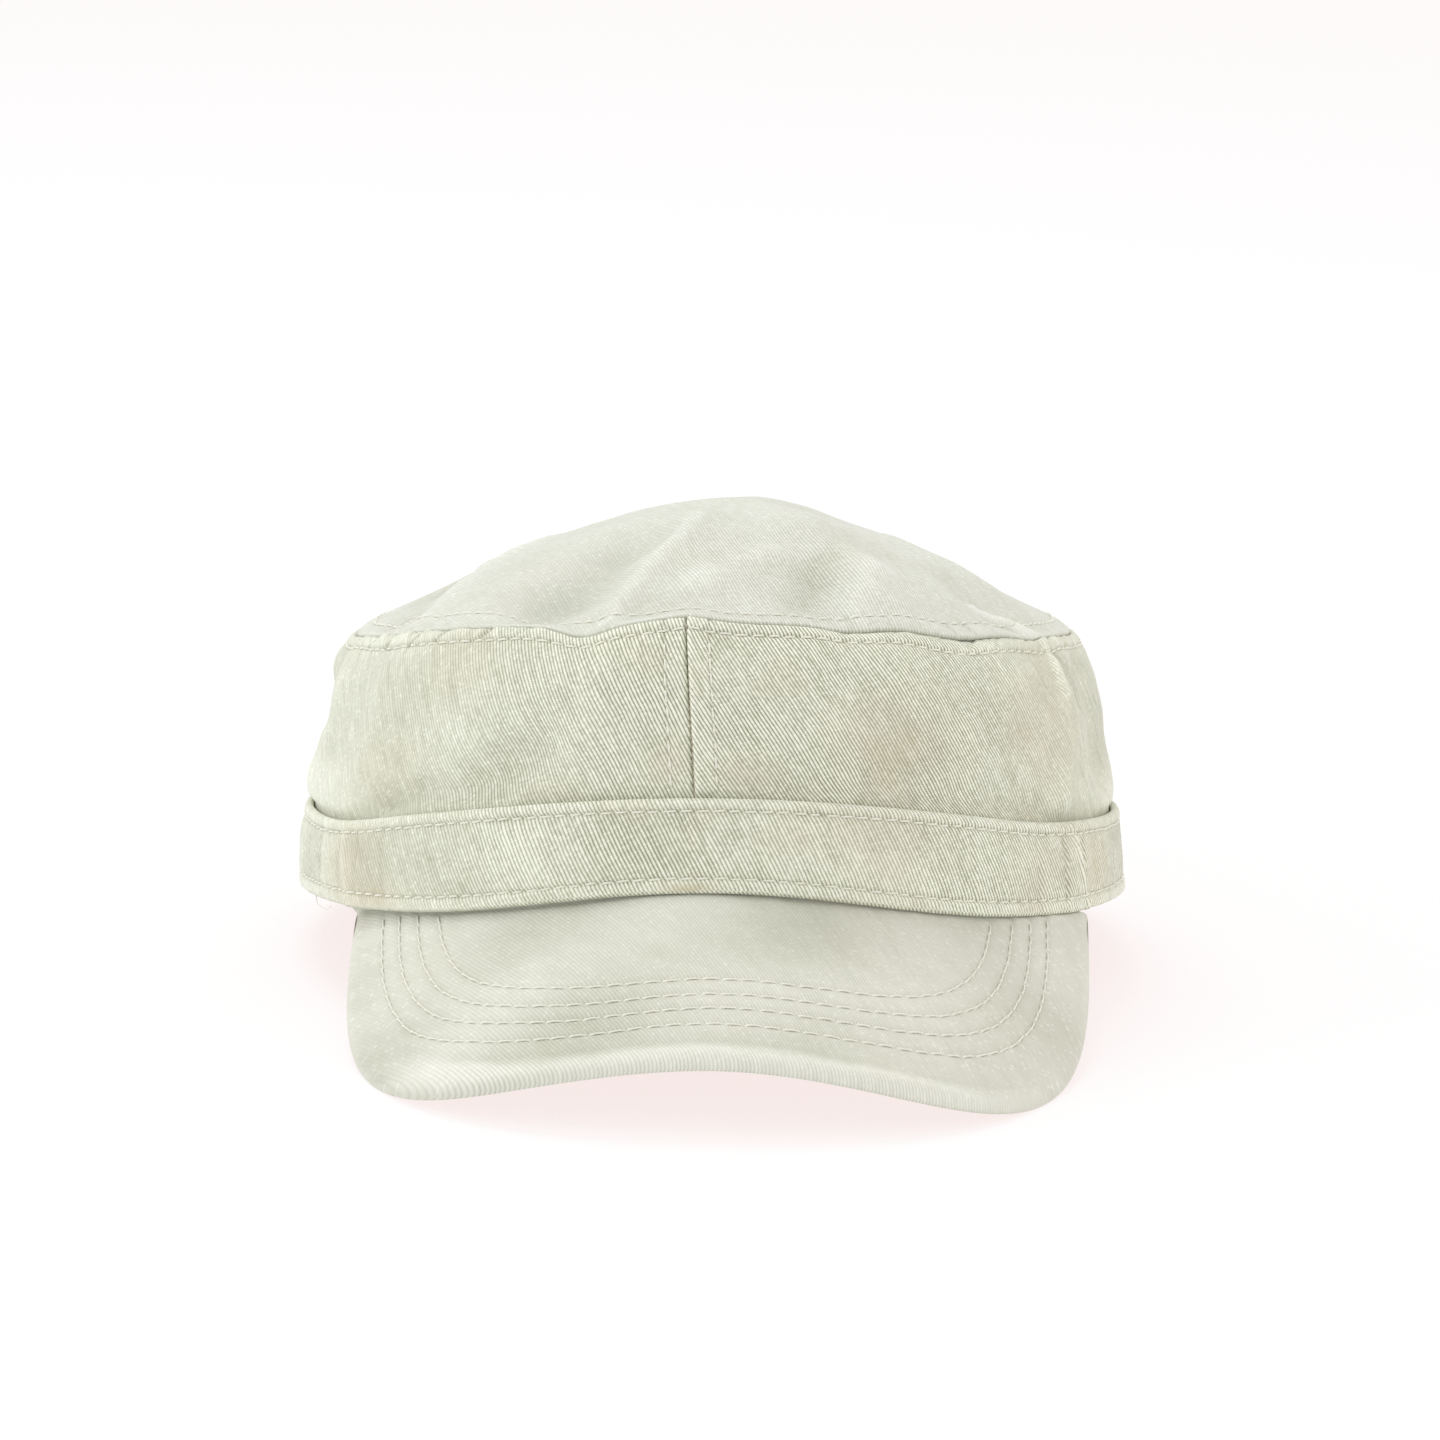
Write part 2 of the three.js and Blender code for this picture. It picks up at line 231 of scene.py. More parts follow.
def wall_point(angle, rise):
    lean = WALL_EVEN_LEAN * rise + (1 - WALL_EVEN_LEAN) * np.maximum(rise, 0) ** WALL_SHOULDER_POWER
    low, high = band_top_height(angle), seam_height(angle)
    s, t = angle * BAND_TOP["half_width"], rise * (high - low)
    folds = folds_at(s, t, on_wall(WALL_FOLDS))
    creases = waves(angle, BAND_CREASES) * 0.6 * (1 - rise)
    swell = (folds * smooth((1 - rise) / 0.15) + creases) * smooth(rise / 0.15)
    x0, y0 = oval(angle, BAND_TOP, CLOTH + GAP - swell)
    x1, y1 = oval(angle, SEAM, -swell)
    return points(mix(x0, x1, lean), mix(y0, y1, lean), mix(low, high, rise))


def top_point(angle, reach):
    rim_x, rim_y = oval(angle, SEAM)
    x, y = mix(APEX["x"], rim_x, reach), mix(APEX["y"], rim_y, reach)
    dome = mix(APEX["z"], seam_height(angle), 1 - np.cos(np.pi / 2 * reach))
    return points(x, y, dome + folds_at(x, y, TOP_FOLDS) * smooth((1 - reach) / 0.12))


def peak_reach(x):
    share = np.maximum(0, 1 - (np.abs(x) / PEAK["half_width"]) ** PEAK["squareness"])
    return mix(PEAK["centre_reach"], PEAK["front_reach"], share ** (1 / PEAK["squareness"]))


def root_reach(x):
    return (FOOT["front"] - CLOTH) * np.sqrt(1 - (x / (FOOT["half_width"] - CLOTH)) ** 2)


def peak_sheet(x, reach):
    """Height of the arched sheet that the peak's upper side follows."""
    return FOOT["z_front"] - (reach - FOOT["front"]) * PEAK["slope"] - PEAK["arch"] * x * x


def peak_middle(x, row):
    """Centre of the peak's thickness at a place across it and a share of the way to its edge."""
    root, reach = root_reach(x), mix(root_reach(x), peak_reach(x), row)
    root_angle = np.arctan2(x / FOOT["half_width"], root / FOOT["front"])
    meet = foot_height(root_angle, x, -root) - GAP - peak_sheet(x, root)
    ahead = (reach - PEAK["centre_reach"]) / PEAK_LENGTH
    z = peak_sheet(x, reach) - PEAK["twist"] * x * ahead + meet * (1 - row) ** 2 - PEAK["thickness"] / 2
    return points(x + PEAK["shift"] * (1 - ahead), -reach, z)


def half_thickness(x, row):
    reach = mix(root_reach(x), peak_reach(x), row)
    ahead = np.maximum(0, reach - PEAK["centre_reach"])
    n = PEAK["squareness"]
    across = (np.abs(x) / PEAK["half_width"]) ** n
    along = (ahead / PEAK_LENGTH) ** n
    inside = np.maximum(0, 1 - (across + along) ** (1 / n)) * np.hypot(x, ahead)
    r = PEAK["thickness"] / 2
    return r * np.sqrt(1 - (1 - np.clip(inside / r, 0, 1)) ** 2)


def normals_of(grid, ring=False):
    """Unit normals of a grid of points, first index round or across, second index up or along."""
    if ring:
        across = np.roll(grid, -1, 0) - np.roll(grid, 1, 0)
    else:
        across = np.gradient(grid, axis=0)
    along = np.gradient(grid, axis=1)
    n = np.cross(across, along)
    return n / np.maximum(np.linalg.norm(n, axis=-1, keepdims=True), 1e-12)


# Rotation that sets the worn cap down, and the worn origin's place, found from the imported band
LIE_NORMAL = Vector((-math.tan(math.radians(LIE_SIDEWAYS)), -math.tan(math.radians(LIE_FORWARD)), 1))
LIE_TURN = np.array(LIE_NORMAL.rotation_difference(Vector((0, 0, 1))).to_matrix())

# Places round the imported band, and its rows as shares of its height
CAD_AROUND = 88
CAD_BAND_ROWS = [0, 0.12, 0.5, 0.9]


def worn_origin():
    """Where the worn cap's origin lies, in mm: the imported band's box against the same band here."""
    angle = np.arange(CAD_AROUND)[:, None] * 2 * np.pi / CAD_AROUND
    rise = np.array([CAD_BAND_ROWS])
    skins = [band_point(angle, rise, inset) for inset in (0, CLOTH)]
    skins.append(band_point(angle, np.ones((1, 1)), CLOTH / 2))
    places = np.concatenate([skin.reshape(-1, 3) for skin in skins]) @ LIE_TURN.T
    return np.array(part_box("band")[0]) / MM - places.min(0)


ORIGIN = worn_origin()


def set_down(places):
    """Points of the worn frame in mm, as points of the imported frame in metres."""
    return (places @ LIE_TURN.T + ORIGIN) * MM


# Lean of the twill's ribs against the horizontal, falling to the right, in degrees
BAND_LEAN = 62
RIGHT_LEAN = 59
LEFT_LEAN = 65
TOP_LEAN = 73
PEAK_LEAN = 61

# Fineness of the surfaces: mm between neighbouring rows, beside a hem or seam and away from it
SEAM_STEP = 0.28
CLOTH_STEP = 0.7
TOP_STEP = 1.9
PANEL_STEP = 0.38

# How many places go round the band and the top seam, and how many rows lie on the insides and on a fold
AROUND = 1080
INNER_ROWS = 18
BAND_INNER_ROWS = 16
TOP_INNER_ROWS = 15
FOLD_STEPS = 9
LAST_STEP = 0.3  # mm of cloth from the band's last row back to its first
PEAK_COLUMNS = 300

# Mean radii in mm that turn an angle into a length of cloth, and lengths of cloth up the wall and down
# behind the band
BAND_RADIUS = 90
WALL_RADIUS = 88
PANEL_RADIUS = 86
WALL_CLOTH = 42
TUCK_CLOTH = 20


def graded(length, near, step_near, step_far, both=False):
    """Places from 0 to length, close together near the start, and at the end too if both."""
    start = np.arange(0, near, step_near)
    far_end = length - near if both else length
    middle = np.linspace(near, far_end, max(2, int((far_end - near) / step_far)))
    if not both:
        return np.concatenate([start, middle])
    return np.concatenate([start, middle, length - start[::-1]])


def ripple(places, wave, seed, count=10):
    """Smooth unevenness between about -1 and 1 of places in space, with waves near that length."""
    draw = np.random.default_rng(SEED * 1000 + seed)
    total = 0
    for _ in range(count):
        way = draw.normal(size=3)
        way = way / np.linalg.norm(way) / (wave * draw.uniform(0.7, 1.5))
        total = total + np.sin(2 * np.pi * (places @ way) + draw.uniform(0, 2 * np.pi))
    return total * math.sqrt(2 / count) * 0.7


def run_length(grid, axis):
    """Length along one index of a grid, from its first place."""
    step = np.linalg.norm(np.diff(grid, axis=axis), axis=-1)
    pad = [(0, 0), (0, 0)]
    pad[axis] = (1, 0)
    return np.pad(np.cumsum(step, axis=axis), pad)


# Mesh making


def make_mesh(name, corners, places, corner_uv, relief, faded_and_lit, stained):
    """Mesh of four-cornered faces, with places that coincide merged and empty faces dropped."""
    _, first, merged = np.unique(np.round(places, 4), axis=0, return_index=True, return_inverse=True)
    faces = merged.reshape(-1)[corners]
    keep = faces != np.roll(faces, -1, 1)
    whole = keep.sum(1) >= 3
    faces, keep, corner_uv = faces[whole], keep[whole], corner_uv[whole]
    total = keep.sum(1).astype(np.int32)
    mesh = bpy.data.meshes.new(name)
    mesh.vertices.add(len(first))
    resting = set_down(places[first])
    resting[:, 2] = np.maximum(resting[:, 2], 0)
    mesh.vertices.foreach_set("co", resting.astype(np.float32).ravel())
    mesh.loops.add(int(total.sum()))
    mesh.loops.foreach_set("vertex_index", faces[keep].astype(np.int32))
    mesh.polygons.add(len(total))
    loop_start = np.concatenate([[0], np.cumsum(total)[:-1]])
    mesh.polygons.foreach_set("loop_start", loop_start.astype(np.int32))
    mesh.polygons.foreach_set("use_smooth", np.ones(len(total), bool))
    mesh.update(calc_edges=True)
    layer = mesh.uv_layers.new(name="cloth")
    layer.data.foreach_set("uv", corner_uv[keep].astype(np.float32).ravel())
    for layer_name, values in (("relief", relief), ("faded_and_lit", faded_and_lit), ("stained", stained)):
        shade = mesh.attributes.new(layer_name, "FLOAT", "POINT")
        shade.data.foreach_set("value", values.reshape(-1)[first].astype(np.float32))
    mesh.validate()
    return mesh


def add_object(name, data):
    made = bpy.data.objects.new(name, data)
    bpy.context.scene.collection.objects.link(made)
    return made


def add_piece(mesh, node_name, material):
    """Piece of the cap; it stands for a node of the part, or adds to it where the name is None."""
    piece = add_object(mesh.name, mesh)
    mesh.materials.append(material)
    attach(piece, "root")
    if node_name:
        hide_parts(node_name)


def loft(name, grid, uv, relief, is_ring, faded_and_lit=0.0, stained=0.0):
    """Closed body through loops: the first index goes across, the second round the section."""
    n, m = grid.shape[:2]
    i = np.arange(n if is_ring else n - 1)[:, None]
    j = np.arange(m)[None, :]
    i2, j2 = (i + 1) % n, (j + 1) % m

    def index(a, b):
        return (a * m + b).reshape(-1)

    corners = np.stack([index(i, j), index(i2, j), index(i2, j2), index(i, j2)], 1)

    def at(a, b):
        a, b = np.broadcast_arrays(a, b)
        return uv[a, b].reshape(-1, 2)

    corner_uv = np.stack([at(i, j), at(i + 1, j), at(i + 1, j + 1), at(i, j + 1)], 1)
    if not is_ring:
        half = np.arange(m // 2 - 1)
        start = np.stack([half, half + 1, m - 2 - half, m - 1 - half], 1)
        end = (n - 1) * m + start[:, ::-1]
        corners = np.concatenate([corners, start, end])
        ends_uv = [uv[0][start], uv[n - 1][start[:, ::-1]]]
        corner_uv = np.concatenate([corner_uv] + ends_uv)
    blank = np.zeros(grid.shape[:2])
    places = grid.reshape(-1, 3)
    return make_mesh(name, corners, places, corner_uv, relief, faded_and_lit + blank, stained + blank)


def cloth_place(u, v, lean):
    """Cloth coordinates in mm, across the ribs and along them; ribs fall to the right by lean."""
    s, c = np.sin(np.radians(lean)), np.cos(np.radians(lean))
    return np.stack(np.broadcast_arrays(u * s + v * c, v * s - u * c), -1)


# Creases finer than the cap's main folds: from, to, width, height; on the top between plan points,
# on the walls between places given as angle and height above the band
TOP_CREASES = [
    ((-22, -79), (-3, -28), 3, 0.9),
    ((-36, -70), (-20, -38), 7, -1.1),
    ((-62, -43), (-50, -4), 3.5, 0.9),
    ((-50, -4), (-38, 14), 3.5, 0.9),
    ((-66, -30), (-58, 4), 5, -0.9),
    ((19, -70), (24, -46), 5, -1.3),
    ((-4, -66), (11, -44), 4.5, 0.9),
    ((30, -70), (34, -46), 3, 0.7),
    ((60, -46), (50, -30), 4, -0.8),
]
WALL_CREASES = [
    ((-38, 2), (-26, 12), 4.5, -0.3),
    ((-52, 1), (-44, 6), 3.5, -0.7),
    ((61, 41), (70, 25), 3.5, -0.9),
    ((58, 3), (60, 26), 3, 0.35),
    ((66, 2), (68, 14), 2.5, 0.5),
    ((-70, 30), (-78, 22), 3, 0.6),
    ((-84, 16), (-76, 24), 3, -0.9),
    ((30, 1), (52, 3), 3, -0.5),
]
# Sharp ridge that runs over the top seam, worn pale with a painted highlight: from, to, width, share;
# then its height and its painted highlight
TOP_RIDGE = ((56, -43), (71, -38), 1.6, 1)
WALL_RIDGE = ((63, 42), (61.5, 28), 1.6, 1)
RIDGE_HEIGHT = 1.1
RIDGE_LIGHT = 0.5

# Tan patches: angle, height, their widths, strength; the height is in mm above the band on the walls
# and a share of the band's height on the band
WALL_STAINS = [
    (-41, 29, 8, 7, 0.3),
    (-6, 7, 3, 4, 0.6),
    (5, 5, 4, 4, 0.6),
    (27, 14, 9, 8, 0.45),
    (60, 20, 7, 12, 0.5),
]
BAND_STAINS = [
    (-58, 0.5, 7, 0.5, 0.8),
    (-52, 0.12, 5, 0.15, 0.8),
    (22, 0.7, 8, 0.3, 0.6),
    (-3, 0.04, 3, 0.07, 1.4),
    (66, 0.5, 6, 0.5, 0.7),
]

# The walls lean out over the band at the sides: angle, width, swell
WALL_SWELLS = [(-90, 22, 2.2), (92, 22, 1.2)]

# Stitching: distances in mm from the seam, fold or hem that a row follows
STITCH_PITCH = 3.4
PEAK_PITCH = 3.95
BAND_UPPER_ROW = 2.5
BAND_LOWER_ROW = 3.2
WALL_ROW = 3.1
TOP_ROW = 4.6
FRONT_SEAM_ROW = 4.6
SHOWN_OF_UPRIGHT_ROW = slice(3, -16)  # an upright seam's row stops short of the band and the top seam

# Places where a row beside the top seam runs farther from it: angle, width, shift
WALL_ROW_SHIFTS = [(42, 13, 1.2), (-56, 12, 0.6)]
TOP_ROW_SHIFTS = [(-42, 20, 2.8), (40, 15, 1.0)]

# Gathers along the top seam: angle in degrees, width in degrees, depth in mm
WALL_GATHERS = [
    (-56, 14, 1.25),
    (-32, 9, 0.3),
    (24, 6, 0.16),
    (44, 11, 0.22),
    (68, 9, 0.5),
    (180, 70, 0.4),
]
TOP_GATHERS = [(-58, 16, 0.1), (-30, 8, 0.1), (22, 6, 0.2), (43, 12, 0.3), (64, 8, 0.2), (180, 70, 0.3)]
GATHER_COUNT = 50  # gathers of the walls' welt round the whole seam
FINE_GATHERS = 2.6  # finer ones for each of these
TOP_GATHER_COUNT = 63
GATHER_SLANT = -1.3  # mm along the seam for each mm away from it
SEAM_LENGTH = 500  # mm round the top seam

# A gather as shares of its width, then in mm: its rise, where it falls and how fast, its height, how
# much of that is lost towards its end, and the depth of the crease between two
PILLOW = dict(rise=0.18, fall_from=0.92, fall=0.08, height=1.6, loss=0.35, crease=1.15)

# Places where the top panel's edge stands out over the wall: angle, width, reach
SEAM_LAPS = [(25, 5, 0.6), (43, 5, 1.1), (34, 2, 0.4), (52, 2, 0.3)]

# Cloth beside the front seam, at the right panel's folded edge and at the left panel's flat one: depth
# of the rounded edge, height of the welt and of the fold, and painted light along the edge: a painted
# highlight on the proud fold, painted shade beside the flat one
PROUD_EDGE = dict(lip=0.3, welt=0.3, fold=0.4, light=0.35)
FLAT_EDGE = dict(lip=0.5, welt=0.1, fold=0, light=-0.5)

# Ridges of the band where it bends sharply: angle at the foot and at the upper edge, width, height
BAND_RIDGES = [(-57.5, -61, 1.3, 0.6), (62.5, 58, 0.9, 0.8), (68, 67, 1.6, 0.2), (-66, -67, 1.5, 0.2)]
MM_PER_DEGREE = 1.6  # round the band

# Places where the foot flares out, and depths of the puckers between the rows: angle, width, height
BAND_FLARES = [(82, 16, 0.6), (-84, 14, 0.3)]
BAND_PUCKERS = [(-66, 12, 0.3), (-45, 9, 0.15), (58, 14, 0.3), (36, 10, 0.12), (180, 60, 0.12)]
PUCKER_COUNT = 58  # puckers round the whole band
ROW_PUCKERS = 170  # small ones beside the rows, one for each stitch
HEM_WAVES = 110  # shallow slanted waves along the foot

# Bleaching of the cloth, and painted light that washes out the weave where the light falls bright:
# strength, where it starts and over how far it grows, in degrees to the left or right, and on the top
# and the peak in mm from the middle of the cloth where neither shows
BAND_FADE = (0.65, 12, 40)
WALL_FADE_LEFT = (0.85, 2, 58)
WALL_FADE_RIGHT = (0.8, 28, 45)
TOP_FADE = (0.8, 18, 28)
TOP_UNFADED = dict(x=17, y=-58)
PEAK_FADE = (0.4, 42, 22)
PEAK_FADED_AND_LIT = 0.45

# Share of light thread, which paints wear and light and shade: at rest, on the band's upper fold, worn
# pale with a painted highlight, and at its foot from inside to outside, painted shade where the foot
# meets the peak that fades to none on its outer round
RELIEF_LEVEL = 0.5
FOLD_RELIEF = 0.75
FOOT_RELIEF = (-0.6, 0.5)
PALE_HEIGHT = 1.6  # mm of fine relief from full colour to worn pale; the same relief paints hollows darker as painted shade and ridges lighter as painted highlight
RIGHT_PAINTED_SHADE = 0.06  # painted shade: how much darker the right side panel is painted, on the side away from the brighter light

# Rows of stitches on the peak: half width and front reach of each rounded square
PEAK_ROWS = [(58.5, 122.7), (62.8, 126.9), (66.7, 130.8), (70.3, 135.3)]
PEAK_ROWS_SHIFT = 1.0


def normal_of(surface, u, v, step=1e-3):
    across = surface(u + step, v) - surface(u - step, v)
    along = surface(u, v + step) - surface(u, v - step)
    n = np.cross(across, along)
    return n / np.linalg.norm(n, axis=-1, keepdims=True)


def wall_normal(angle, rise):
    return normal_of(wall_point, angle, rise)


def top_normal(angle, reach):
    return -normal_of(top_point, angle, np.maximum(reach, 0.002))


def seam_mitre(angle):
    """Direction that splits the corner between wall and top panel, as long as its mitre needs."""
    wall = wall_normal(angle, 1 + 0 * angle)
    split = wall + top_normal(angle, 1 + 0 * angle)
    split = split / np.linalg.norm(split, axis=-1, keepdims=True)
    return split / np.sum(split * wall, -1, keepdims=True)


def lip(distance, radius, depth):
    """Rounded edge: sinks by depth where the distance from the edge is 0."""
    share = np.clip(distance / radius, 0, 1)
    return -depth * (1 - np.sqrt(1 - (1 - share) ** 2))


def welt(distance, row, height, groove=0.34):
    """Swell of the layers between an edge and its stitch row, and the groove of that row."""
    swell = height * smooth(distance / 0.8) * (1 - smooth((distance - row + 0.9) / 0.9))
    return swell - groove * bell(distance - row, 0.4)


def pillow(phase):
    """Flat bump with a sharp crease at each whole number of the phase."""
    share = np.mod(phase, 1.0)
    bump = smooth(share / PILLOW["rise"]) * (1 - smooth((share - PILLOW["fall_from"]) / PILLOW["fall"]))
    return PILLOW["height"] * bump * (1 - PILLOW["loss"] * share) - PILLOW["crease"]


def seam_share(angle):
    """Share of the way round the seam, made uneven with waves so that no two gathers are alike."""
    turn = angle / (2 * np.pi)
    return turn + 0.0016 * np.sin(23 * angle + 1) + 0.0022 * np.sin(11 * angle + 4)


def wall_gathers(angle, distance):
    """Height of the walls' gathers above their row under the top seam, with short tails below it."""
    depth = waves(angle, WALL_GATHERS) * (1 + 0.25 * np.sin(17 * angle))
    slant = GATHER_SLANT * np.minimum(distance, WALL_ROW) / SEAM_LENGTH
    phase = (seam_share(angle) - slant) * GATHER_COUNT
    inside = 1 - smooth((distance - WALL_ROW + 0.5) / 0.8)
    below = distance - WALL_ROW
    tail = 0.125 * smooth(below / 0.5) * np.exp(-np.maximum(below, 0) / 3)
    fine = np.sin(2 * np.pi * seam_share(angle) * GATHER_COUNT * FINE_GATHERS)
    fine = 0.1 * fine * np.exp(-distance / 6)
    return depth * (pillow(phase) * (inside + tail) + fine)


def top_gathers(angle, distance):
    depth = waves(angle, TOP_GATHERS) * (1 + 0.3 * np.sin(13 * angle + 2))
    phase = seam_share(angle) * TOP_GATHER_COUNT + 0.02 * distance
    inside = 1 - 0.5 * smooth((distance - TOP_ROW + 0.5) / 0.8)
    return depth * pillow(phase) * inside * np.exp(-np.maximum(distance - TOP_ROW, 0) / 6)


def shade_of(detail, light=0.0):
    """Share of light thread at a place: fine ridges are worn pale and get a painted highlight, hollows
    get painted shade, and the light adds painted light and shade.
    """
    return np.clip(RELIEF_LEVEL + detail / PALE_HEIGHT + light, 0, 1)


def stains(angle, height, table):
    """How strongly a table's tan patches show at a place."""
    out = np.zeros(np.broadcast(angle, height).shape)
    for centre, level, width, spread, strength in table:
        out = out + strength * bell(np.degrees(angle) - centre, width) * bell(height - level, spread)
    return out


def fade(place, strength, start, growth):
    """How far bleaching has taken the cloth's colour, and how far painted light washes out its weave:
    nothing up to the start, full strength past the growth.
    """
    return strength * smooth((place - start) / growth)


def all_round():
    """Angles of the places round the band and round the top panel."""
    return np.linspace(-np.pi, np.pi, AROUND, endpoint=False)[:, None]


def band_relief(angle, rise, base, low, high):
    """Fine height, and painted light and shade, of places on the band, low and high from its foot and
    its upper edge.
    """
    detail = welt(high, BAND_UPPER_ROW, 0.3) + welt(low, BAND_LOWER_ROW, 0.25)
    near_rows = bell(high - BAND_UPPER_ROW, 0.9) + bell(low - BAND_LOWER_ROW, 0.9)
    detail = detail + 0.07 * np.cos(ROW_PUCKERS * angle) * near_rows
    between = smooth((high - 2) / 3) * smooth((low - 1) / 4)
    pucker_phase = (angle / (2 * np.pi) + 0.002 * np.sin(19 * angle)) * PUCKER_COUNT + 0.004 * low
    detail = detail + waves(angle, BAND_PUCKERS) * pillow(pucker_phase) * (0.25 + 0.75 * between)
    detail = detail + 0.06 * np.sin(HEM_WAVES * angle + 1.2 * low) * bell(low - 1.5, 2)
    detail = detail + 0.3 * ripple(base, 30, 1) * between + 0.1 * ripple(base, 9, 2)
    # Painted light and shade: a painted highlight on the upper fold, a paler hem below the lower row,
    # and painted shade in the grooves of both rows of stitches
    light = 0.25 * bell(high, 1.0) + 0.14 * (1 - smooth((low - BAND_LOWER_ROW + 0.4) / 0.6))
    light = light - 0.16 * bell(high - BAND_UPPER_ROW, 0.5) - 0.16 * bell(low - BAND_LOWER_ROW, 0.5)
    turn = np.degrees(angle)
    # Each sharp bend also gets a painted highlight along its ridge
    for foot_turn, top_turn, width, rise_out in BAND_RIDGES:
        ridge = rise_out * bell((turn - mix(foot_turn, top_turn, rise)) * MM_PER_DEGREE, width)
        detail, light = detail + ridge, light + 0.25 * ridge
    for centre, width, out in BAND_FLARES:
        detail = detail + out * bell(turn - centre, width) * bell(low, 3.5)
    return detail, light


def make_band(material):
    angle = all_round()
    height = band_top_height(angle) - foot_height(angle, *oval(angle, FOOT))
    usual = float(height.mean())
    fold = FOLD_RADIUS / usual
    edge = 1 - fold
    rows = graded(usual * (1 - 2 * fold), 4, SEAM_STEP, CLOTH_STEP, both=True)
    rise = fold + rows[None, :] / usual
    base = band_point(angle, rise)
    detail, light = band_relief(angle, rise, base, rise * height, (1 - rise) * height)
    outside = base + normals_of(base, ring=True) * detail[..., None]
    bend = np.linspace(0, np.pi, FOLD_STEPS)[None, 1:-1]
    round_inset = FOLD_RADIUS * (1 - np.cos(bend))
    # Each fold starts or ends on the outer surface's last place, so that no step shows
    top_shift = (outside[:, -1:] - base[:, -1:]) * (1 - bend / np.pi)[..., None]
    foot_shift = (outside[:, :1] - base[:, :1]) * (bend / np.pi)[..., None]
    top_fold = band_point(angle, edge + fold * np.sin(bend), round_inset) + top_shift
    inside = band_point(angle, np.linspace(edge, fold, BAND_INNER_ROWS)[None, :], CLOTH)
    foot_fold = band_point(angle, fold - fold * np.sin(bend), CLOTH - round_inset) + foot_shift
    grid = np.concatenate([outside, top_fold, inside, foot_fold], 1)
    around = np.linspace(-np.pi, np.pi, AROUND + 1) * BAND_RADIUS
    up = run_length(grid[:1], 1)[0]
    up = np.append(up, up[-1] + LAST_STEP)
    uv = cloth_place(around[:, None], up[None, :], BAND_LEAN)
    shown, folded = rise.size, bend.size
    relief = np.full(grid.shape[:2], RELIEF_LEVEL)
    relief[:, :shown] = shade_of(detail, light)
    # Painted highlight on the upper fold, and painted shade in the foot's fold that fades out towards
    # its outside
    relief[:, shown : shown + folded] = FOLD_RELIEF
    relief[:, -folded:] = np.linspace(*FOOT_RELIEF, folded)
    turn = np.degrees(angle)
    faded_and_lit = fade(-turn, *BAND_FADE) * smooth((turn + 130) / 30)
    stained = np.zeros(grid.shape[:2])
    stained[:, :shown] = stains(angle, rise, BAND_STAINS)
    mesh = loft("band_cloth", grid, uv, relief, True, faded_and_lit, stained)
    add_piece(mesh, "band", material)
    return dict(points=outside, rise=rise, height=height, ring=True)


def front_seam_angle(rise, side):
    width = mix(BAND_TOP["half_width"], SEAM["half_width"], rise)
    return np.arcsin((mix(FRONT_SEAM_FOOT, FRONT_SEAM_TOP, rise) + side * GAP / 2) / width)


def back_seam_angle(rise, side):
    return side * (np.pi - GAP / 2 / SEAM["back"]) + 0 * rise


def tuck_point(angle, rise, inset):
    """Place of cloth that reaches down behind the band."""
    return band_point(angle, rise, inset, swollen=0)


def wall_creases(base, angle, above):
    """Height in mm of a side panel's creases and unevenness."""
    broad = 0.35 * ripple(base, 26, 3) + 0.12 * ripple(base, 8, 4)
    broad = broad + folds_at(angle * BAND_TOP["half_width"], above, on_wall(WALL_CREASES))
    return broad + waves(angle, WALL_SWELLS) * bell(above - 4, 7)


def panel_surface(side):
    """Angles, rises and places of a side panel, and its distances from the front and back seams."""
    usual_height = SEAM["z_side"] - BAND_TOP["z_side"]
    usual_length = np.pi * PANEL_RADIUS
    share = graded(usual_length, 7, SEAM_STEP, PANEL_STEP, both=True)[:, None] / usual_length
    down = graded(usual_height, 6, SEAM_STEP, CLOTH_STEP)[::-1]
    rise = ((1 - down / usual_height) * (1 - GAP / 2 / usual_height))[None, :]
    front, back = front_seam_angle(rise, side), back_seam_angle(rise, side)
    angle = mix(front, back, share) if side > 0 else mix(back, front, share)
    base = wall_point(angle, rise)
    across = run_length(base, 0)
    from_ends = [across, across[-1:] - across]
    front_edge, back_edge = from_ends if side > 0 else from_ends[::-1]
    return angle, rise, base, front_edge, back_edge


def panel_cloth(angle, rise, kept, lean):
    """Cloth coordinates of a side panel, from its edge behind the band round to the same edge inside."""
    tuck_down = (1 - np.array(TUCK_RISES)) * -TUCK_CLOTH
    up, inner_up = rise[0] * WALL_CLOTH, rise[0, kept[::-1]] * WALL_CLOTH
    row_up = np.concatenate([tuck_down, up, inner_up, tuck_down[::-1], tuck_down[:1]])
    tuck_turn = np.repeat(angle[:, :1], len(TUCK_RISES), 1)
    turns = [tuck_turn, angle, angle[:, kept[::-1]], tuck_turn, tuck_turn[:, :1]]
    column = np.concatenate(turns, 1)
    uv = cloth_place(column * WALL_RADIUS, row_up[None, :], lean)
    return np.concatenate([uv, uv[-1:]]), np.degrees(column[:, :-1])


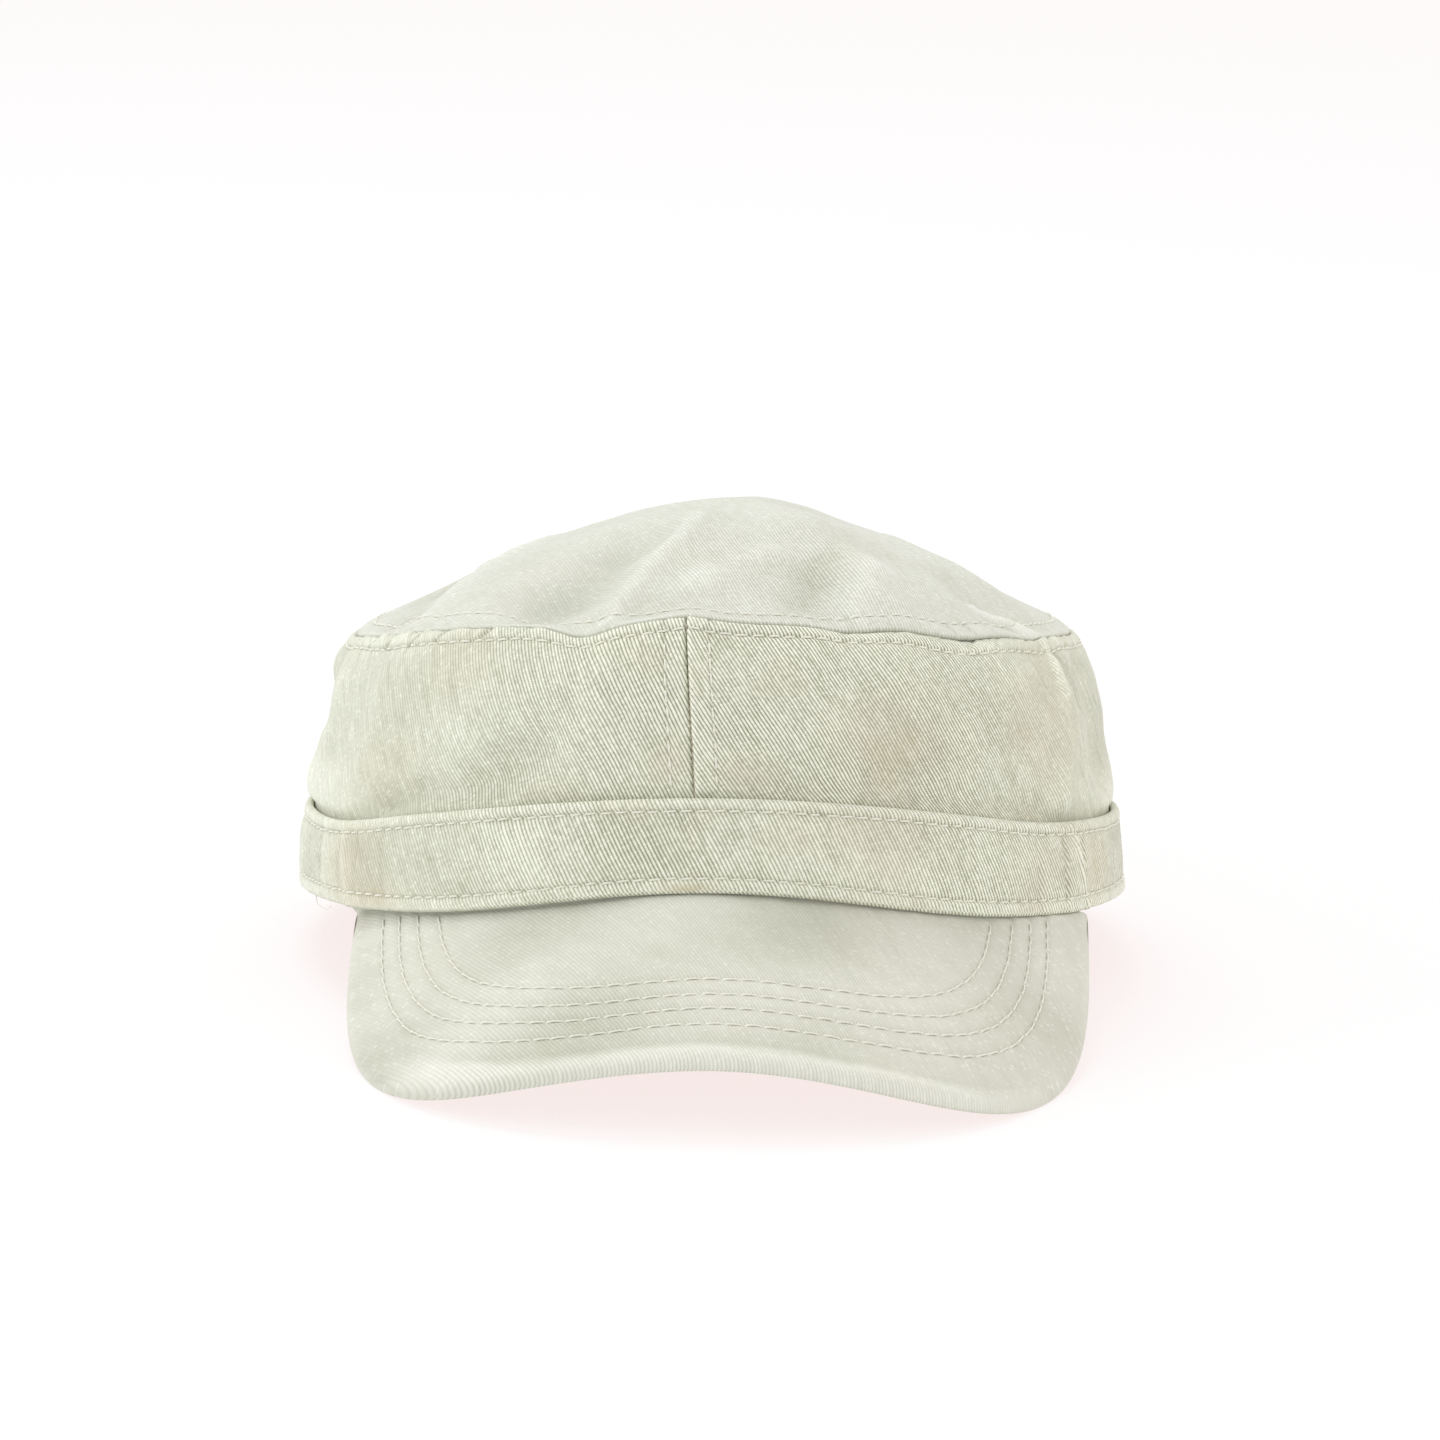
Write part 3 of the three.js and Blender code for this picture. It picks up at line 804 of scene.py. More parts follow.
def make_side_panel(name, side, lean, material):
    """Side panel, side 1 at the right or -1 at the left; the right one is proud at the front seam."""
    edge = PROUD_EDGE if side > 0 else FLAT_EDGE
    angle, rise, base, front_edge, back_edge = panel_surface(side)
    normal = wall_normal(angle, rise)
    above = run_length(base, 1)
    below_seam = above[:, -1:] - above
    from_row = below_seam - waves(angle, WALL_ROW_SHIFTS)

    detail = welt(from_row, WALL_ROW, 0.25) + lip(below_seam, 0.8, 0.6)
    gathers = wall_gathers(angle, from_row)
    detail = detail + gathers - 0.9 * waves(angle, SEAM_LAPS) * bell(below_seam, 1.0)
    seam_welt = 0.8 * welt(front_edge, FRONT_SEAM_ROW, edge["welt"])
    fold_swell = edge["fold"] * bell(front_edge - 0.4, 1.0)
    back_welt = lip(back_edge, 0.7, 0.6) + 0.8 * welt(back_edge, FRONT_SEAM_ROW, 0.2)
    detail = detail + lip(front_edge, 0.6, edge["lip"]) + seam_welt + fold_swell + back_welt
    near_seams = smooth(above / 2.5) * smooth(below_seam / 3) * smooth(front_edge / 3)
    broad = wall_creases(base, angle, above) * near_seams
    base = base + normal * broad[..., None]
    ridge = folds_at(angle * BAND_TOP["half_width"], above, on_wall([WALL_RIDGE]))
    detail = (detail + RIDGE_HEIGHT * ridge) * smooth(above / 2.5)
    # Painted light and shade: a painted highlight along the ridge and just under the top seam, a painted
    # highlight on the proud fold and painted shade beside the flat edge, painted shade just above the
    # band at the front and in the row's groove
    light = RIDGE_LIGHT * ridge + 0.15 * bell(below_seam, 1.0) + edge["light"] * bell(front_edge, 0.5)
    at_front = 1 - smooth((np.abs(np.degrees(angle)) - 62) / 14)
    light = light - 0.2 * at_front * bell(above, 3) - 0.14 * bell(from_row - WALL_ROW, 0.5)
    # Painted shade over the whole right side panel
    light = light - (RIGHT_PAINTED_SHADE if side > 0 else 0)

    outside = base + normal * detail[..., None]
    outside[..., 2] = outside[..., 2] + 1.2 * np.maximum(gathers, 0) * bell(below_seam, 1.4)
    inward = normal.copy()
    inward[:, -1] = seam_mitre(angle[:, -1])
    kept = np.linspace(0, base.shape[1] - 1, INNER_ROWS).round().astype(int)
    inside = (base - inward * CLOTH)[:, kept]
    tuck_out = tuck_point(angle[:, :1], np.array([TUCK_RISES]), CLOTH + GAP)
    tuck_in = tuck_point(angle[:, :1], np.array([TUCK_RISES]), 2 * CLOTH + GAP)
    grid = np.concatenate([tuck_out, outside, inside[:, ::-1], tuck_in[:, ::-1]], 1)

    uv, turn = panel_cloth(angle, rise, kept, lean)
    shown = slice(len(TUCK_RISES), len(TUCK_RISES) + rise.size)
    relief = np.full(grid.shape[:2], RELIEF_LEVEL)
    # The broad creases are painted into the colour as well: painted shade in their hollows, painted
    # highlight on their crests
    relief[:, shown] = shade_of(detail + 0.5 * broad, light)
    faded_and_lit = fade(-turn, *WALL_FADE_LEFT) + fade(turn, *WALL_FADE_RIGHT)
    faded_and_lit = faded_and_lit * (1 - smooth((np.abs(turn) - 110) / 30))
    stained = np.zeros(grid.shape[:2])
    stained[:, shown] = stains(angle, above, WALL_STAINS)
    mesh = loft(name + "_cloth", grid, uv, relief, False, faded_and_lit, stained)
    add_piece(mesh, name, material)
    return dict(points=outside, below=from_row, front=front_edge, back=back_edge, ring=False)


def top_creases(base):
    """Height in mm of the top panel's creases and unevenness."""
    broad = 0.32 * ripple(base, 34, 5) + 0.12 * ripple(base, 11, 6)
    return broad + folds_at(base[..., 0], base[..., 1], TOP_CREASES)


def top_underside(angle, rim):
    """The top panel's folded sheet and its inner surface, from the middle to the rim."""
    reach = np.concatenate([[0], np.linspace(0.04, 0.97, TOP_INNER_ROWS), [rim]])[None, :]
    base = top_point(angle, reach)
    inward = top_normal(angle, reach)
    inward[:, 0] = (0, 0, 1)
    inward[:, -1] = seam_mitre(angle[:, 0])
    broad = top_creases(base) * smooth((1 - reach) * SEAM["half_width"] / 3)
    inside = base + inward * (broad - CLOTH)[..., None]
    inside[:, 0] = inside[:, 0].mean(0)
    return base, inside


def make_top(material):
    angle = all_round()
    usual = SEAM["half_width"]
    rim = 1 - GAP / 2 / usual
    reach = (rim * (1 - graded(usual, 7, SEAM_STEP, TOP_STEP) / usual))[None, :]
    reach[0, -1] = 0
    base = top_point(angle, reach)
    from_rim = run_length(base, 1)
    from_row = from_rim - waves(angle, TOP_ROW_SHIFTS)
    normal = top_normal(angle, reach)
    normal[:, -1] = (0, 0, 1)
    detail = welt(from_row, TOP_ROW, 0.04, 0.12) + lip(from_rim, 0.7, 0.45)
    detail = detail + top_gathers(angle, from_rim)
    broad = top_creases(base)
    ridge = folds_at(base[..., 0], base[..., 1], [TOP_RIDGE])
    detail = detail + broad * smooth(from_rim / 3) + RIDGE_HEIGHT * ridge
    outside = base + normal * detail[..., None]
    outward = np.concatenate([np.sin(angle), -np.cos(angle), 0 * angle], 1)[:, None]
    lap = 0.5 * waves(angle, SEAM_LAPS) * bell(from_rim, 2.8)
    outside = outside + outward * lap[..., None]
    outside[:, -1] = outside[:, -1].mean(0)
    inner_base, inside = top_underside(angle, rim)
    grid = np.concatenate([outside, inside], 1)
    flat = np.concatenate([base, inner_base], 1)
    uv = cloth_place(flat[..., 0], flat[..., 1] * 1.04, TOP_LEAN)
    uv = np.concatenate([uv, uv[:1]])
    uv = np.concatenate([uv, uv[:, :1]], 1)
    relief = np.full(grid.shape[:2], RELIEF_LEVEL)
    # Painted light and shade: a painted highlight along the ridge and at the rim, painted shade in the
    # row's groove, and the broad creases painted into the colour at part strength
    light = RIDGE_LIGHT * ridge + 0.04 * bell(from_rim, 1.0) - 0.12 * bell(from_row - TOP_ROW, 0.5)
    relief[:, : reach.size] = shade_of(detail - broad * 0.6, light)
    from_unfaded = np.hypot(flat[..., 0] - TOP_UNFADED["x"], flat[..., 1] - TOP_UNFADED["y"])
    mesh = loft("crown_top_cloth", grid, uv, relief, True, fade(from_unfaded, *TOP_FADE))
    add_piece(mesh, "crown_top", material)
    return dict(points=outside, below=from_row, ring=True)


PEAK_DROOP = 1.4  # mm that the middle of the peak's front hangs lower
PEAK_ROWS_BACK = 90  # rows of places from the band up to the rolled edge
PEAK_ROWS_ROLLED = 16
PEAK_ROLL = 0.06  # share of the peak's reach that the rolled edge takes

# Edge of the peak that is sewn inside the band: rises as shares of the band's height, thickness
ALLOWANCE_RISES = [0.01, 0.16]
ALLOWANCE = 1.2


def peak_row_distance(x, ahead, half_width, front_reach):
    """Distance in mm from a place on the peak to a row of stitches, positive outside it."""
    n = PEAK["squareness"]
    across = np.abs(x - PEAK_ROWS_SHIFT)
    size = ((across / half_width) ** n + (ahead / (front_reach - PEAK["centre_reach"])) ** n) ** (1 / n)
    return (1 - 1 / np.maximum(size, 1e-3)) * np.hypot(across, ahead)


def make_peak(material):
    turn = np.linspace(-np.pi / 2, np.pi / 2, PEAK_COLUMNS + 1)[:, None]
    x = PEAK["half_width"] * np.sin(turn)
    near_edge = 1 - PEAK_ROLL * np.cos(np.linspace(0, np.pi / 2, PEAK_ROWS_ROLLED))
    rows = np.concatenate([np.linspace(0, 1 - PEAK_ROLL, PEAK_ROWS_BACK)[:-1], near_edge])[None, :]
    middle = peak_middle(x, rows)
    half = half_thickness(x, rows)[..., None]
    lift = np.array([0, 0, 1])
    upper, lower = middle + lift * half, middle - lift * half
    plan_x, ahead = upper[..., 0], np.maximum(-upper[..., 1] - PEAK["centre_reach"], 0)
    detail = 0.25 * ripple(upper, 40, 7) + 0.06 * ripple(upper, 7, 8)
    for half_width, front_reach in PEAK_ROWS:
        away = peak_row_distance(plan_x, ahead, half_width, front_reach)
        detail = detail - 0.22 * bell(away, 0.5) + 0.06 * bell(np.abs(away) - 1.7, 1.0)
    edge = -peak_row_distance(plan_x - PEAK["shift"], ahead, PEAK["half_width"], PEAK["front_reach"])
    in_front = smooth((ahead / PEAK_LENGTH - 0.6) / 0.3)
    detail = detail + in_front * (0.25 * bell(edge - 2.2, 1.6) - 0.15 * bell(edge - 5, 0.9))
    detail = detail * smooth(half[..., 0] / (PEAK["thickness"] / 2) * 1.3)
    droop = PEAK_DROOP * in_front * bell(plan_x + 8, 34)
    upper = upper + lift * (detail - droop)[..., None]
    lower = lower - lift * droop[..., None]
    root_angle = np.arctan2(x / FOOT["half_width"], root_reach(x) / FOOT["front"])
    turn_up = np.array([ALLOWANCE_RISES])
    behind = tuck_point(root_angle, turn_up, CLOTH + GAP)
    behind_inner = tuck_point(root_angle, turn_up[:, ::-1], CLOTH + GAP + ALLOWANCE)
    grid = np.concatenate([upper[:, ::-1], behind, behind_inner, lower], 1)
    cloth = cloth_place(middle[..., 0] * 1.1, middle[..., 1] * 1.14, PEAK_LEAN)
    root_cloth = np.repeat(cloth[:, :1], 2 * len(ALLOWANCE_RISES), 1)
    uv = np.concatenate([cloth[:, ::-1], root_cloth, cloth, cloth[:, -1:]], 1)
    uv = np.concatenate([uv, uv[-1:]])
    relief = np.full(grid.shape[:2], RELIEF_LEVEL)
    from_root = -middle[..., 1] - root_reach(x)
    # Painted light: a highlight along the rolled front edge, which is also worn pale, and light that
    # lifts the band's shadow off the peak near the root
    light = 0.45 * in_front * bell(edge - 0.8, 2.2) + 0.08 * bell(from_root - 7, 14)
    relief[:, : upper.shape[1]] = shade_of(detail, light)[:, ::-1]
    # Painted light that pales the underside along the edge, most at the sides, where it lies in shadow
    relief[:, -lower.shape[1] :] = RELIEF_LEVEL + (0.7 - 0.5 * in_front) * bell(edge, 1.5)
    skin_faded_and_lit = PEAK_FADED_AND_LIT + fade(np.abs(plan_x), *PEAK_FADE) - 0.4 * in_front * bell(edge, 3.5)
    faded_and_lit = np.full(grid.shape[:2], 0.5)
    faded_and_lit[:, : upper.shape[1]] = skin_faded_and_lit[:, ::-1]
    faded_and_lit[:, -lower.shape[1] :] = skin_faded_and_lit
    mesh = loft("peak_cloth", grid, uv, relief, False, faded_and_lit)
    add_piece(mesh, "peak", material)
    return dict(points=upper, rows=rows[0], ring=False)


# Threads

STITCH_FILL = 0.78
THREAD_RADIUS = 0.25
THREAD_SIDES = 6
STITCH_ALONG = np.array([0, 0.1, 0.3, 0.5, 0.7, 0.9, 1])
STITCH_LIFT = np.array([-0.2, 0.06, 0.2, 0.23, 0.2, 0.06, -0.2])
STITCH_GIRTH = np.array([0.4, 0.85, 1, 1, 1, 0.85, 0.4])
PEAK_FILL = 0.92
PEAK_GIRTH = np.array([0.9, 1.25, 0.8, 0.75, 0.75, 0.75, 0.6])


def path_across(skin, values, level, by_row=False):
    """Line over a surface where values, which change along each column, reach a level."""
    grid, normal = skin["points"], skin["normal"]
    if by_row:
        grid, normal, values = grid.swapaxes(0, 1), normal.swapaxes(0, 1), values.T
    line = []
    for places, ways, run in zip(grid, normal, values):
        order = slice(None) if run[0] < run[-1] else slice(None, None, -1)
        both = np.concatenate([places, ways], -1)[order]
        line.append([np.interp(level, run[order], both[:, k]) for k in range(6)])
    line = np.array(line)
    if skin["ring"]:
        line = np.concatenate([line, line[:1]])
    return line


def sample(grid, i, j):
    """Values of a grid at fractional places."""
    i0 = np.clip(i.astype(int), 0, grid.shape[0] - 2)
    j0 = np.clip(j.astype(int), 0, grid.shape[1] - 2)
    a, b = (i - i0)[:, None], (j - j0)[:, None]
    near = mix(grid[i0, j0], grid[i0, j0 + 1], b)
    far = mix(grid[i0 + 1, j0], grid[i0 + 1, j0 + 1], b)
    return mix(near, far, a)


def peak_row_path(skin, half_width, front_reach):
    """Line of one row of stitches over the peak, from the band to the band."""
    turn = np.linspace(0.02, np.pi - 0.02, 400)
    power = 2 / PEAK["squareness"]
    x = -half_width * np.sign(np.cos(turn)) * np.abs(np.cos(turn)) ** power + PEAK_ROWS_SHIFT
    reach = PEAK["centre_reach"] + (front_reach - PEAK["centre_reach"]) * np.sin(turn) ** power
    ahead = (reach - PEAK["centre_reach"]) / PEAK_LENGTH
    across = x - PEAK["shift"] * (1 - ahead)
    row = (reach - root_reach(across)) / (peak_reach(across) - root_reach(across))
    shown = row > 0.015
    across, row = across[shown], row[shown]
    i = (np.arcsin(across / PEAK["half_width"]) / np.pi + 0.5) * PEAK_COLUMNS
    j = np.interp(row, skin["rows"], np.arange(len(skin["rows"])))
    return sample(np.concatenate([skin["points"], skin["normal"]], -1), i, j)


def stitch_bodies(line, pitch, seed, filled, girths):
    """Corners of the thread bodies of one row: stitches, rings along each, sides, then x, y, z."""
    draw = np.random.default_rng(SEED * 100 + seed)
    run = np.concatenate([[0], np.cumsum(np.linalg.norm(np.diff(line[:, :3], axis=0), axis=1))])
    count = max(2, round(run[-1] / pitch))
    step = run[-1] / count
    start = (np.arange(count) + 0.1)[:, None] * step + draw.uniform(-0.05, 0.05, (count, 1)) * step
    fill = filled + draw.uniform(-0.06, 0.06, (count, 1))
    along = start + STITCH_ALONG * step * fill
    both = np.stack([np.interp(along, run, line[:, k]) for k in range(6)], -1)
    middle, normal = both[..., :3], both[..., 3:]
    normal = normal / np.linalg.norm(normal, axis=-1, keepdims=True)
    way = np.gradient(middle, axis=1)
    way = way / np.linalg.norm(way, axis=-1, keepdims=True)
    side = np.cross(normal, way)
    slant = draw.uniform(-0.1, 0.1, (count, 1, 1)) + 0.16 * (STITCH_ALONG[None, :, None] - 0.5)
    middle = middle + normal * STITCH_LIFT[None, :, None] + side * slant
    turn = np.arange(THREAD_SIDES) * 2 * np.pi / THREAD_SIDES
    girth = (THREAD_RADIUS * girths)[None, :, None, None]
    spread = np.cos(turn)[:, None] * side[:, :, None, :] + np.sin(turn)[:, None] * normal[:, :, None, :]
    return middle[:, :, None, :] + girth * spread, along


def make_stitches(name, lines, pitch, material, seed, filled=STITCH_FILL, girths=STITCH_GIRTH):
    """One mesh of all the stitches of some rows."""
    rings, sides = len(STITCH_ALONG), THREAD_SIDES
    rows = [stitch_bodies(line, pitch, seed + k, filled, girths) for k, line in enumerate(lines)]
    bodies = np.concatenate([row[0] for row in rows])
    runs = np.concatenate([row[1] for row in rows])
    count = len(bodies)
    first = (np.arange(count) * rings * sides)[:, None, None]
    i = np.arange(rings - 1)[None, :, None]
    j = np.arange(sides)[None, None, :]
    j2 = (j + 1) % sides
    quads = [first + i * sides + j2, first + i * sides + j, first + (i + 1) * sides + j]
    quads.append(first + (i + 1) * sides + j2)
    corners = np.stack([np.broadcast_to(q, (count, rings - 1, sides)) for q in quads], -1).reshape(-1, 4)
    end = np.array([[0, 1, 2, 3], [3, 4, 5, 0]])
    start_caps = (first + end).reshape(-1, 4)
    end_caps = (first + (rings - 1) * sides + end[:, ::-1]).reshape(-1, 4)
    corners = np.concatenate([corners, start_caps, end_caps])
    u = np.broadcast_to(runs[:, :, None], (count, rings, sides))
    v = np.broadcast_to(np.arange(sides) * 2 * np.pi * THREAD_RADIUS / sides, (count, rings, sides))
    corner_uv = np.stack([u, v], -1).reshape(-1, 2)[corners]
    places = bodies.reshape(-1, 3)
    flat = np.zeros(len(places))
    mesh = make_mesh(name, corners, places, corner_uv, flat, flat, flat)
    add_piece(mesh, None, material)


LOOSE_THREAD = dict(start=-71, end=-64.5, drop=2.0, out=0.6, radius=0.11)


def make_loose_thread(material):
    """Short end of thread that hangs from the left end of the band's foot."""
    share = np.linspace(0, 1, 36)
    turn = np.radians(mix(LOOSE_THREAD["start"], LOOSE_THREAD["end"], share))
    line = band_point(turn, 0 * share + 0.01)
    line[:, 2] -= LOOSE_THREAD["drop"] * np.sin(2.6 * share) + 0.25 * np.sin(9 * share)
    away = LOOSE_THREAD["out"] * np.sin(np.pi * share)
    line = line + np.stack([np.sin(turn) * away, -np.cos(turn) * away, 0 * away], 1)
    way = np.gradient(line, axis=0)
    way = way / np.linalg.norm(way, axis=-1, keepdims=True)
    side = np.cross((0, 0, 1), way)
    side = side / np.linalg.norm(side, axis=-1, keepdims=True)
    up = np.cross(way, side)
    around = np.arange(THREAD_SIDES) * 2 * np.pi / THREAD_SIDES
    spread = np.cos(around)[None, :, None] * side[:, None] + np.sin(around)[None, :, None] * up[:, None]
    grid = line[:, None] + LOOSE_THREAD["radius"] * spread
    run = run_length(line[:, None], 0)
    uv = points(run, np.linspace(0, 1, THREAD_SIDES + 1)[None, :], 0)[..., :2]
    mesh = loft("loose_thread", grid, uv, np.full(grid.shape[:2], 0.5), False)
    add_piece(mesh, None, material)


# Materials

RIB_PITCH = 0.78  # mm between two ribs of the twill
YARN_PITCH = 0.56  # mm between two yarns along a rib
YARN_SHIFT = 0.37  # how far each rib's yarns are set off from its neighbour's, as a share of the pitch
YARN_DEPTH = 0.22  # how deep the gaps between yarns are, as a share of a rib
RIB_SWAY = 0.9  # how far the ribs stray from a straight line
STAIN_FROM, STAIN_TO = 0.52, 0.72  # noise at which a tan patch starts and is full
GROOVE = (0.295, 0.305, 0.197, 1)
RIB = (0.885, 0.905, 0.782, 1)
COOL_RIB = (0.875, 0.9, 0.835, 1)
PEAK_RIB = (0.875, 0.885, 0.812, 1)
TAN = (0.62, 0.55, 0.38, 1)
THREAD = (0.97, 0.97, 0.9, 1)
THREAD_SHADE = (0.74, 0.73, 0.6, 1)

# Each cloth's colour on its ribs, share of that colour, contrast of rib and groove, difference from
# yarn to yarn, strength of its bump, strength of tan patches, and where its noise starts
TWILLS = dict(
    side=dict(rib=RIB, share=0.6, contrast=1.3, speckle=0.3, bump=0.7, tan=0.28, start=3),
    band=dict(rib=RIB, share=0.585, contrast=1.15, speckle=0.28, bump=0.7, tan=0.3, start=11),
    crown=dict(rib=COOL_RIB, share=0.577, contrast=0.46, speckle=0.18, bump=0.4, tan=0.1, start=23),
    peak=dict(rib=PEAK_RIB, share=0.535, contrast=0.36, speckle=0.08, bump=0.25, tan=0.1, start=37),
)


class Nodes:
    """Shader nodes of a material or world; an input is a value or another node's output."""

    def __init__(self, holder):
        holder.use_nodes = True
        self.tree = holder.node_tree
        self.tree.nodes.clear()

    def add(self, kind, inputs=None, **settings):
        made = self.tree.nodes.new("ShaderNode" + kind)
        for key, value in settings.items():
            setattr(made, key, value)
        for key, value in (inputs or {}).items():
            if isinstance(value, bpy.types.NodeSocket):
                self.tree.links.new(value, made.inputs[key])
            else:
                made.inputs[key].default_value = value
        return made

    def maths(self, operation, a, b=0.0, c=0.0):
        return self.add("Math", {0: a, 1: b, 2: c}, operation=operation).outputs[0]

    def scaled(self, value, factor, base):
        """The value times the factor, plus the base."""
        return self.maths("MULTIPLY_ADD", value, factor, base)

    def noise(self, vector, scale, detail=2.0, roughness=0.5):
        inputs = {"Vector": vector, "Scale": scale, "Detail": detail, "Roughness": roughness}
        return self.add("TexNoise", inputs).outputs["Fac"]

    def layer(self, name):
        """Value that the mesh carries at a place."""
        return self.add("Attribute", attribute_name=name).outputs["Fac"]

    def ramp(self, value, start, end, low=0.0, high=1.0):
        inputs = {"Value": value, 1: start, 2: end, 3: low, 4: high}
        return self.add("MapRange", inputs).outputs[0]

    def mix_colour(self, share, a, b):
        inputs = {0: share, 6: a, 7: b}
        return self.add("Mix", inputs, data_type="RGBA", clamp_factor=False).outputs[2]

    def bump(self, height, strength, distance):
        inputs = {"Strength": strength, "Distance": distance * MM, "Height": height}
        return self.add("Bump", inputs).outputs[0]


def sway_of(nodes, place):
    """Places on the cloth, moved a little to and fro so that no rib runs straight."""
    sway = nodes.add("TexNoise", {"Vector": place, "Scale": 0.07, "Detail": 2.0}).outputs["Color"]
    sway = nodes.add("VectorMath", {0: sway, 1: (0.5, 0.5, 0.5)}, operation="SUBTRACT").outputs[0]
    inputs = {0: sway, 1: (RIB_SWAY, RIB_SWAY, 0), 2: place}
    return nodes.add("VectorMath", inputs, operation="MULTIPLY_ADD").outputs[0]


def weave_of(nodes, place):
    """Height of the weave from 0 to 1, the number of the rib, and how many yarns along it."""
    maths = nodes.maths
    parts = nodes.add("SeparateXYZ", {0: sway_of(nodes, place)})
    across = maths("DIVIDE", parts.outputs[0], RIB_PITCH)
    rib_number = maths("FLOOR", across)
    along = maths("DIVIDE", parts.outputs[1], YARN_PITCH)
    along = nodes.scaled(rib_number, YARN_SHIFT, along)
    rib = maths("SINE", maths("MULTIPLY", maths("FRACT", across), math.pi))
    yarn = maths("SINE", maths("MULTIPLY", maths("FRACT", along), math.pi))
    weave = maths("MULTIPLY", rib, nodes.scaled(yarn, YARN_DEPTH, 1 - YARN_DEPTH))
    return weave, rib_number, along


def rib_share(nodes, cloth, weave, each_yarn, slub, grain, patch):
    """Share of the rib's colour against the groove's, by weave, yarn, wear with painted light and shade,
    and bleaching with painted light that washes out the weave.
    """
    maths = nodes.maths
    # worn carries the relief's wear together with its painted light and shade
    worn = maths("SUBTRACT", nodes.layer("relief"), RELIEF_LEVEL)
    bleached_and_lit = nodes.layer("faded_and_lit")
    contrast, speckle = cloth["contrast"], cloth["speckle"]
    patches = nodes.ramp(patch, 0.35, 0.65, 0.75, 1.15)
    crisp = maths("MULTIPLY", patches, nodes.scaled(bleached_and_lit, -contrast, contrast))
    quiet = nodes.scaled(bleached_and_lit, -0.7, 1.0)
    fleck = nodes.ramp(each_yarn, 0.4, 0.5)
    share = nodes.scaled(maths("SUBTRACT", weave, 0.55), crisp, cloth["share"])
    share = nodes.scaled(maths("MULTIPLY", each_yarn, quiet), speckle, share)
    share = nodes.scaled(maths("MULTIPLY", fleck, bleached_and_lit), 0.2, share)
    share = nodes.scaled(slub, 0.5 * contrast, share)
    share = nodes.scaled(maths("MULTIPLY", grain, quiet), 0.4 * speckle + 0.08, share)
    share = nodes.scaled(worn, 0.5, share)
    share = nodes.scaled(bleached_and_lit, 0.06, share)
    return nodes.add("Clamp", {"Value": share, "Max": 1.12}).outputs[0]


def finish_cloth(nodes, colour, bump, roughness, specular, sheen):
    inputs = {"Base Color": colour, "Normal": bump, "Roughness": roughness}
    shader = nodes.add("BsdfPrincipled", inputs)
    shader.inputs["Specular IOR Level"].default_value = specular
    shader.inputs["Sheen Weight"].default_value = sheen
    shader.inputs["Sheen Roughness"].default_value = 0.5
    nodes.add("OutputMaterial", {0: shader.outputs[0]})


def twill(part):
    """Washed twill: slanted ribs of yarn, worn pale on ridges with painted light and shade, with faint
    tan patches and patches where the weave is fainter, and the weave washed out by painted light where
    the light falls bright.
    """
    cloth = TWILLS[part]
    material = bpy.data.materials.new("twill_" + part)
    nodes = Nodes(material)
    maths = nodes.maths
    uv = nodes.add("UVMap", uv_map="cloth").outputs[0]
    start = (cloth["start"], cloth["start"] * 1.7, 0)
    place = nodes.add("Mapping", {"Vector": uv, "Location": start}).outputs[0]
    weave, rib_number, along = weave_of(nodes, place)
    cell = nodes.add("CombineXYZ", {0: rib_number, 1: maths("FLOOR", along)}).outputs[0]
    each_yarn = nodes.add("TexWhiteNoise", {"Vector": cell}, noise_dimensions="2D").outputs[0]
    each_yarn = maths("SUBTRACT", each_yarn, 0.5)
    run = nodes.add("CombineXYZ", {0: rib_number, 1: maths("MULTIPLY", along, 0.06)}).outputs[0]
    slub = maths("SUBTRACT", nodes.noise(run, 0.93, 2.0, 0.6), 0.5)
    grain = maths("SUBTRACT", nodes.noise(place, 1.1, 3.0, 0.75), 0.5)
    patch = nodes.noise(place, 0.05, 3.0, 0.6)
    share = rib_share(nodes, cloth, weave, each_yarn, slub, grain, patch)
    colour = nodes.mix_colour(share, GROOVE, cloth["rib"])
    stain = nodes.ramp(nodes.noise(place, 0.035, 4.0, 0.55), STAIN_FROM, STAIN_TO, 0.0, cloth["tan"])
    stain = nodes.scaled(nodes.layer("stained"), patch, stain)
    colour = nodes.mix_colour(stain, colour, TAN)
    height = nodes.scaled(each_yarn, 0.35, nodes.scaled(grain, 0.8, weave))
    roughness = nodes.scaled(grain, 0.12, 0.9)
    finish_cloth(nodes, colour, nodes.bump(height, cloth["bump"], 0.16), roughness, 0.2, 0.28)
    return material


def thread_material():
    """Cotton thread: two plies that twist round each other."""
    material = bpy.data.materials.new("thread")
    nodes = Nodes(material)
    maths = nodes.maths
    run = nodes.add("UVMap", uv_map="cloth").outputs[0]
    parts = nodes.add("SeparateXYZ", {0: run})
    twist = nodes.scaled(parts.outputs[0], 1.3, parts.outputs[1])
    ply = maths("SINE", maths("MULTIPLY", twist, 2 * math.pi / 0.5))
    fuzz = nodes.noise(run, 4.0)
    share = nodes.scaled(ply, 0.2, nodes.scaled(fuzz, 0.4, 0.45))
    colour = nodes.mix_colour(share, THREAD_SHADE, THREAD)
    finish_cloth(nodes, colour, nodes.bump(ply, 0.5, 0.05), 0.75, 0.3, 0.1)
    return material


# Camera, floor and light

CAMERA_HEIGHT = 13.2  # degrees above the horizon
CAMERA_ROLL = 1.25
CAMERA_DISTANCE = 1400
CAMERA_AIM = (1.2, 0, 56.8)
IMAGE_WIDTH = 1440
MM_PER_PIXEL = 0.2165
SENSOR = 36
NEAREST_SHOWN = 0.05  # metres
FARTHEST_SHOWN = 20


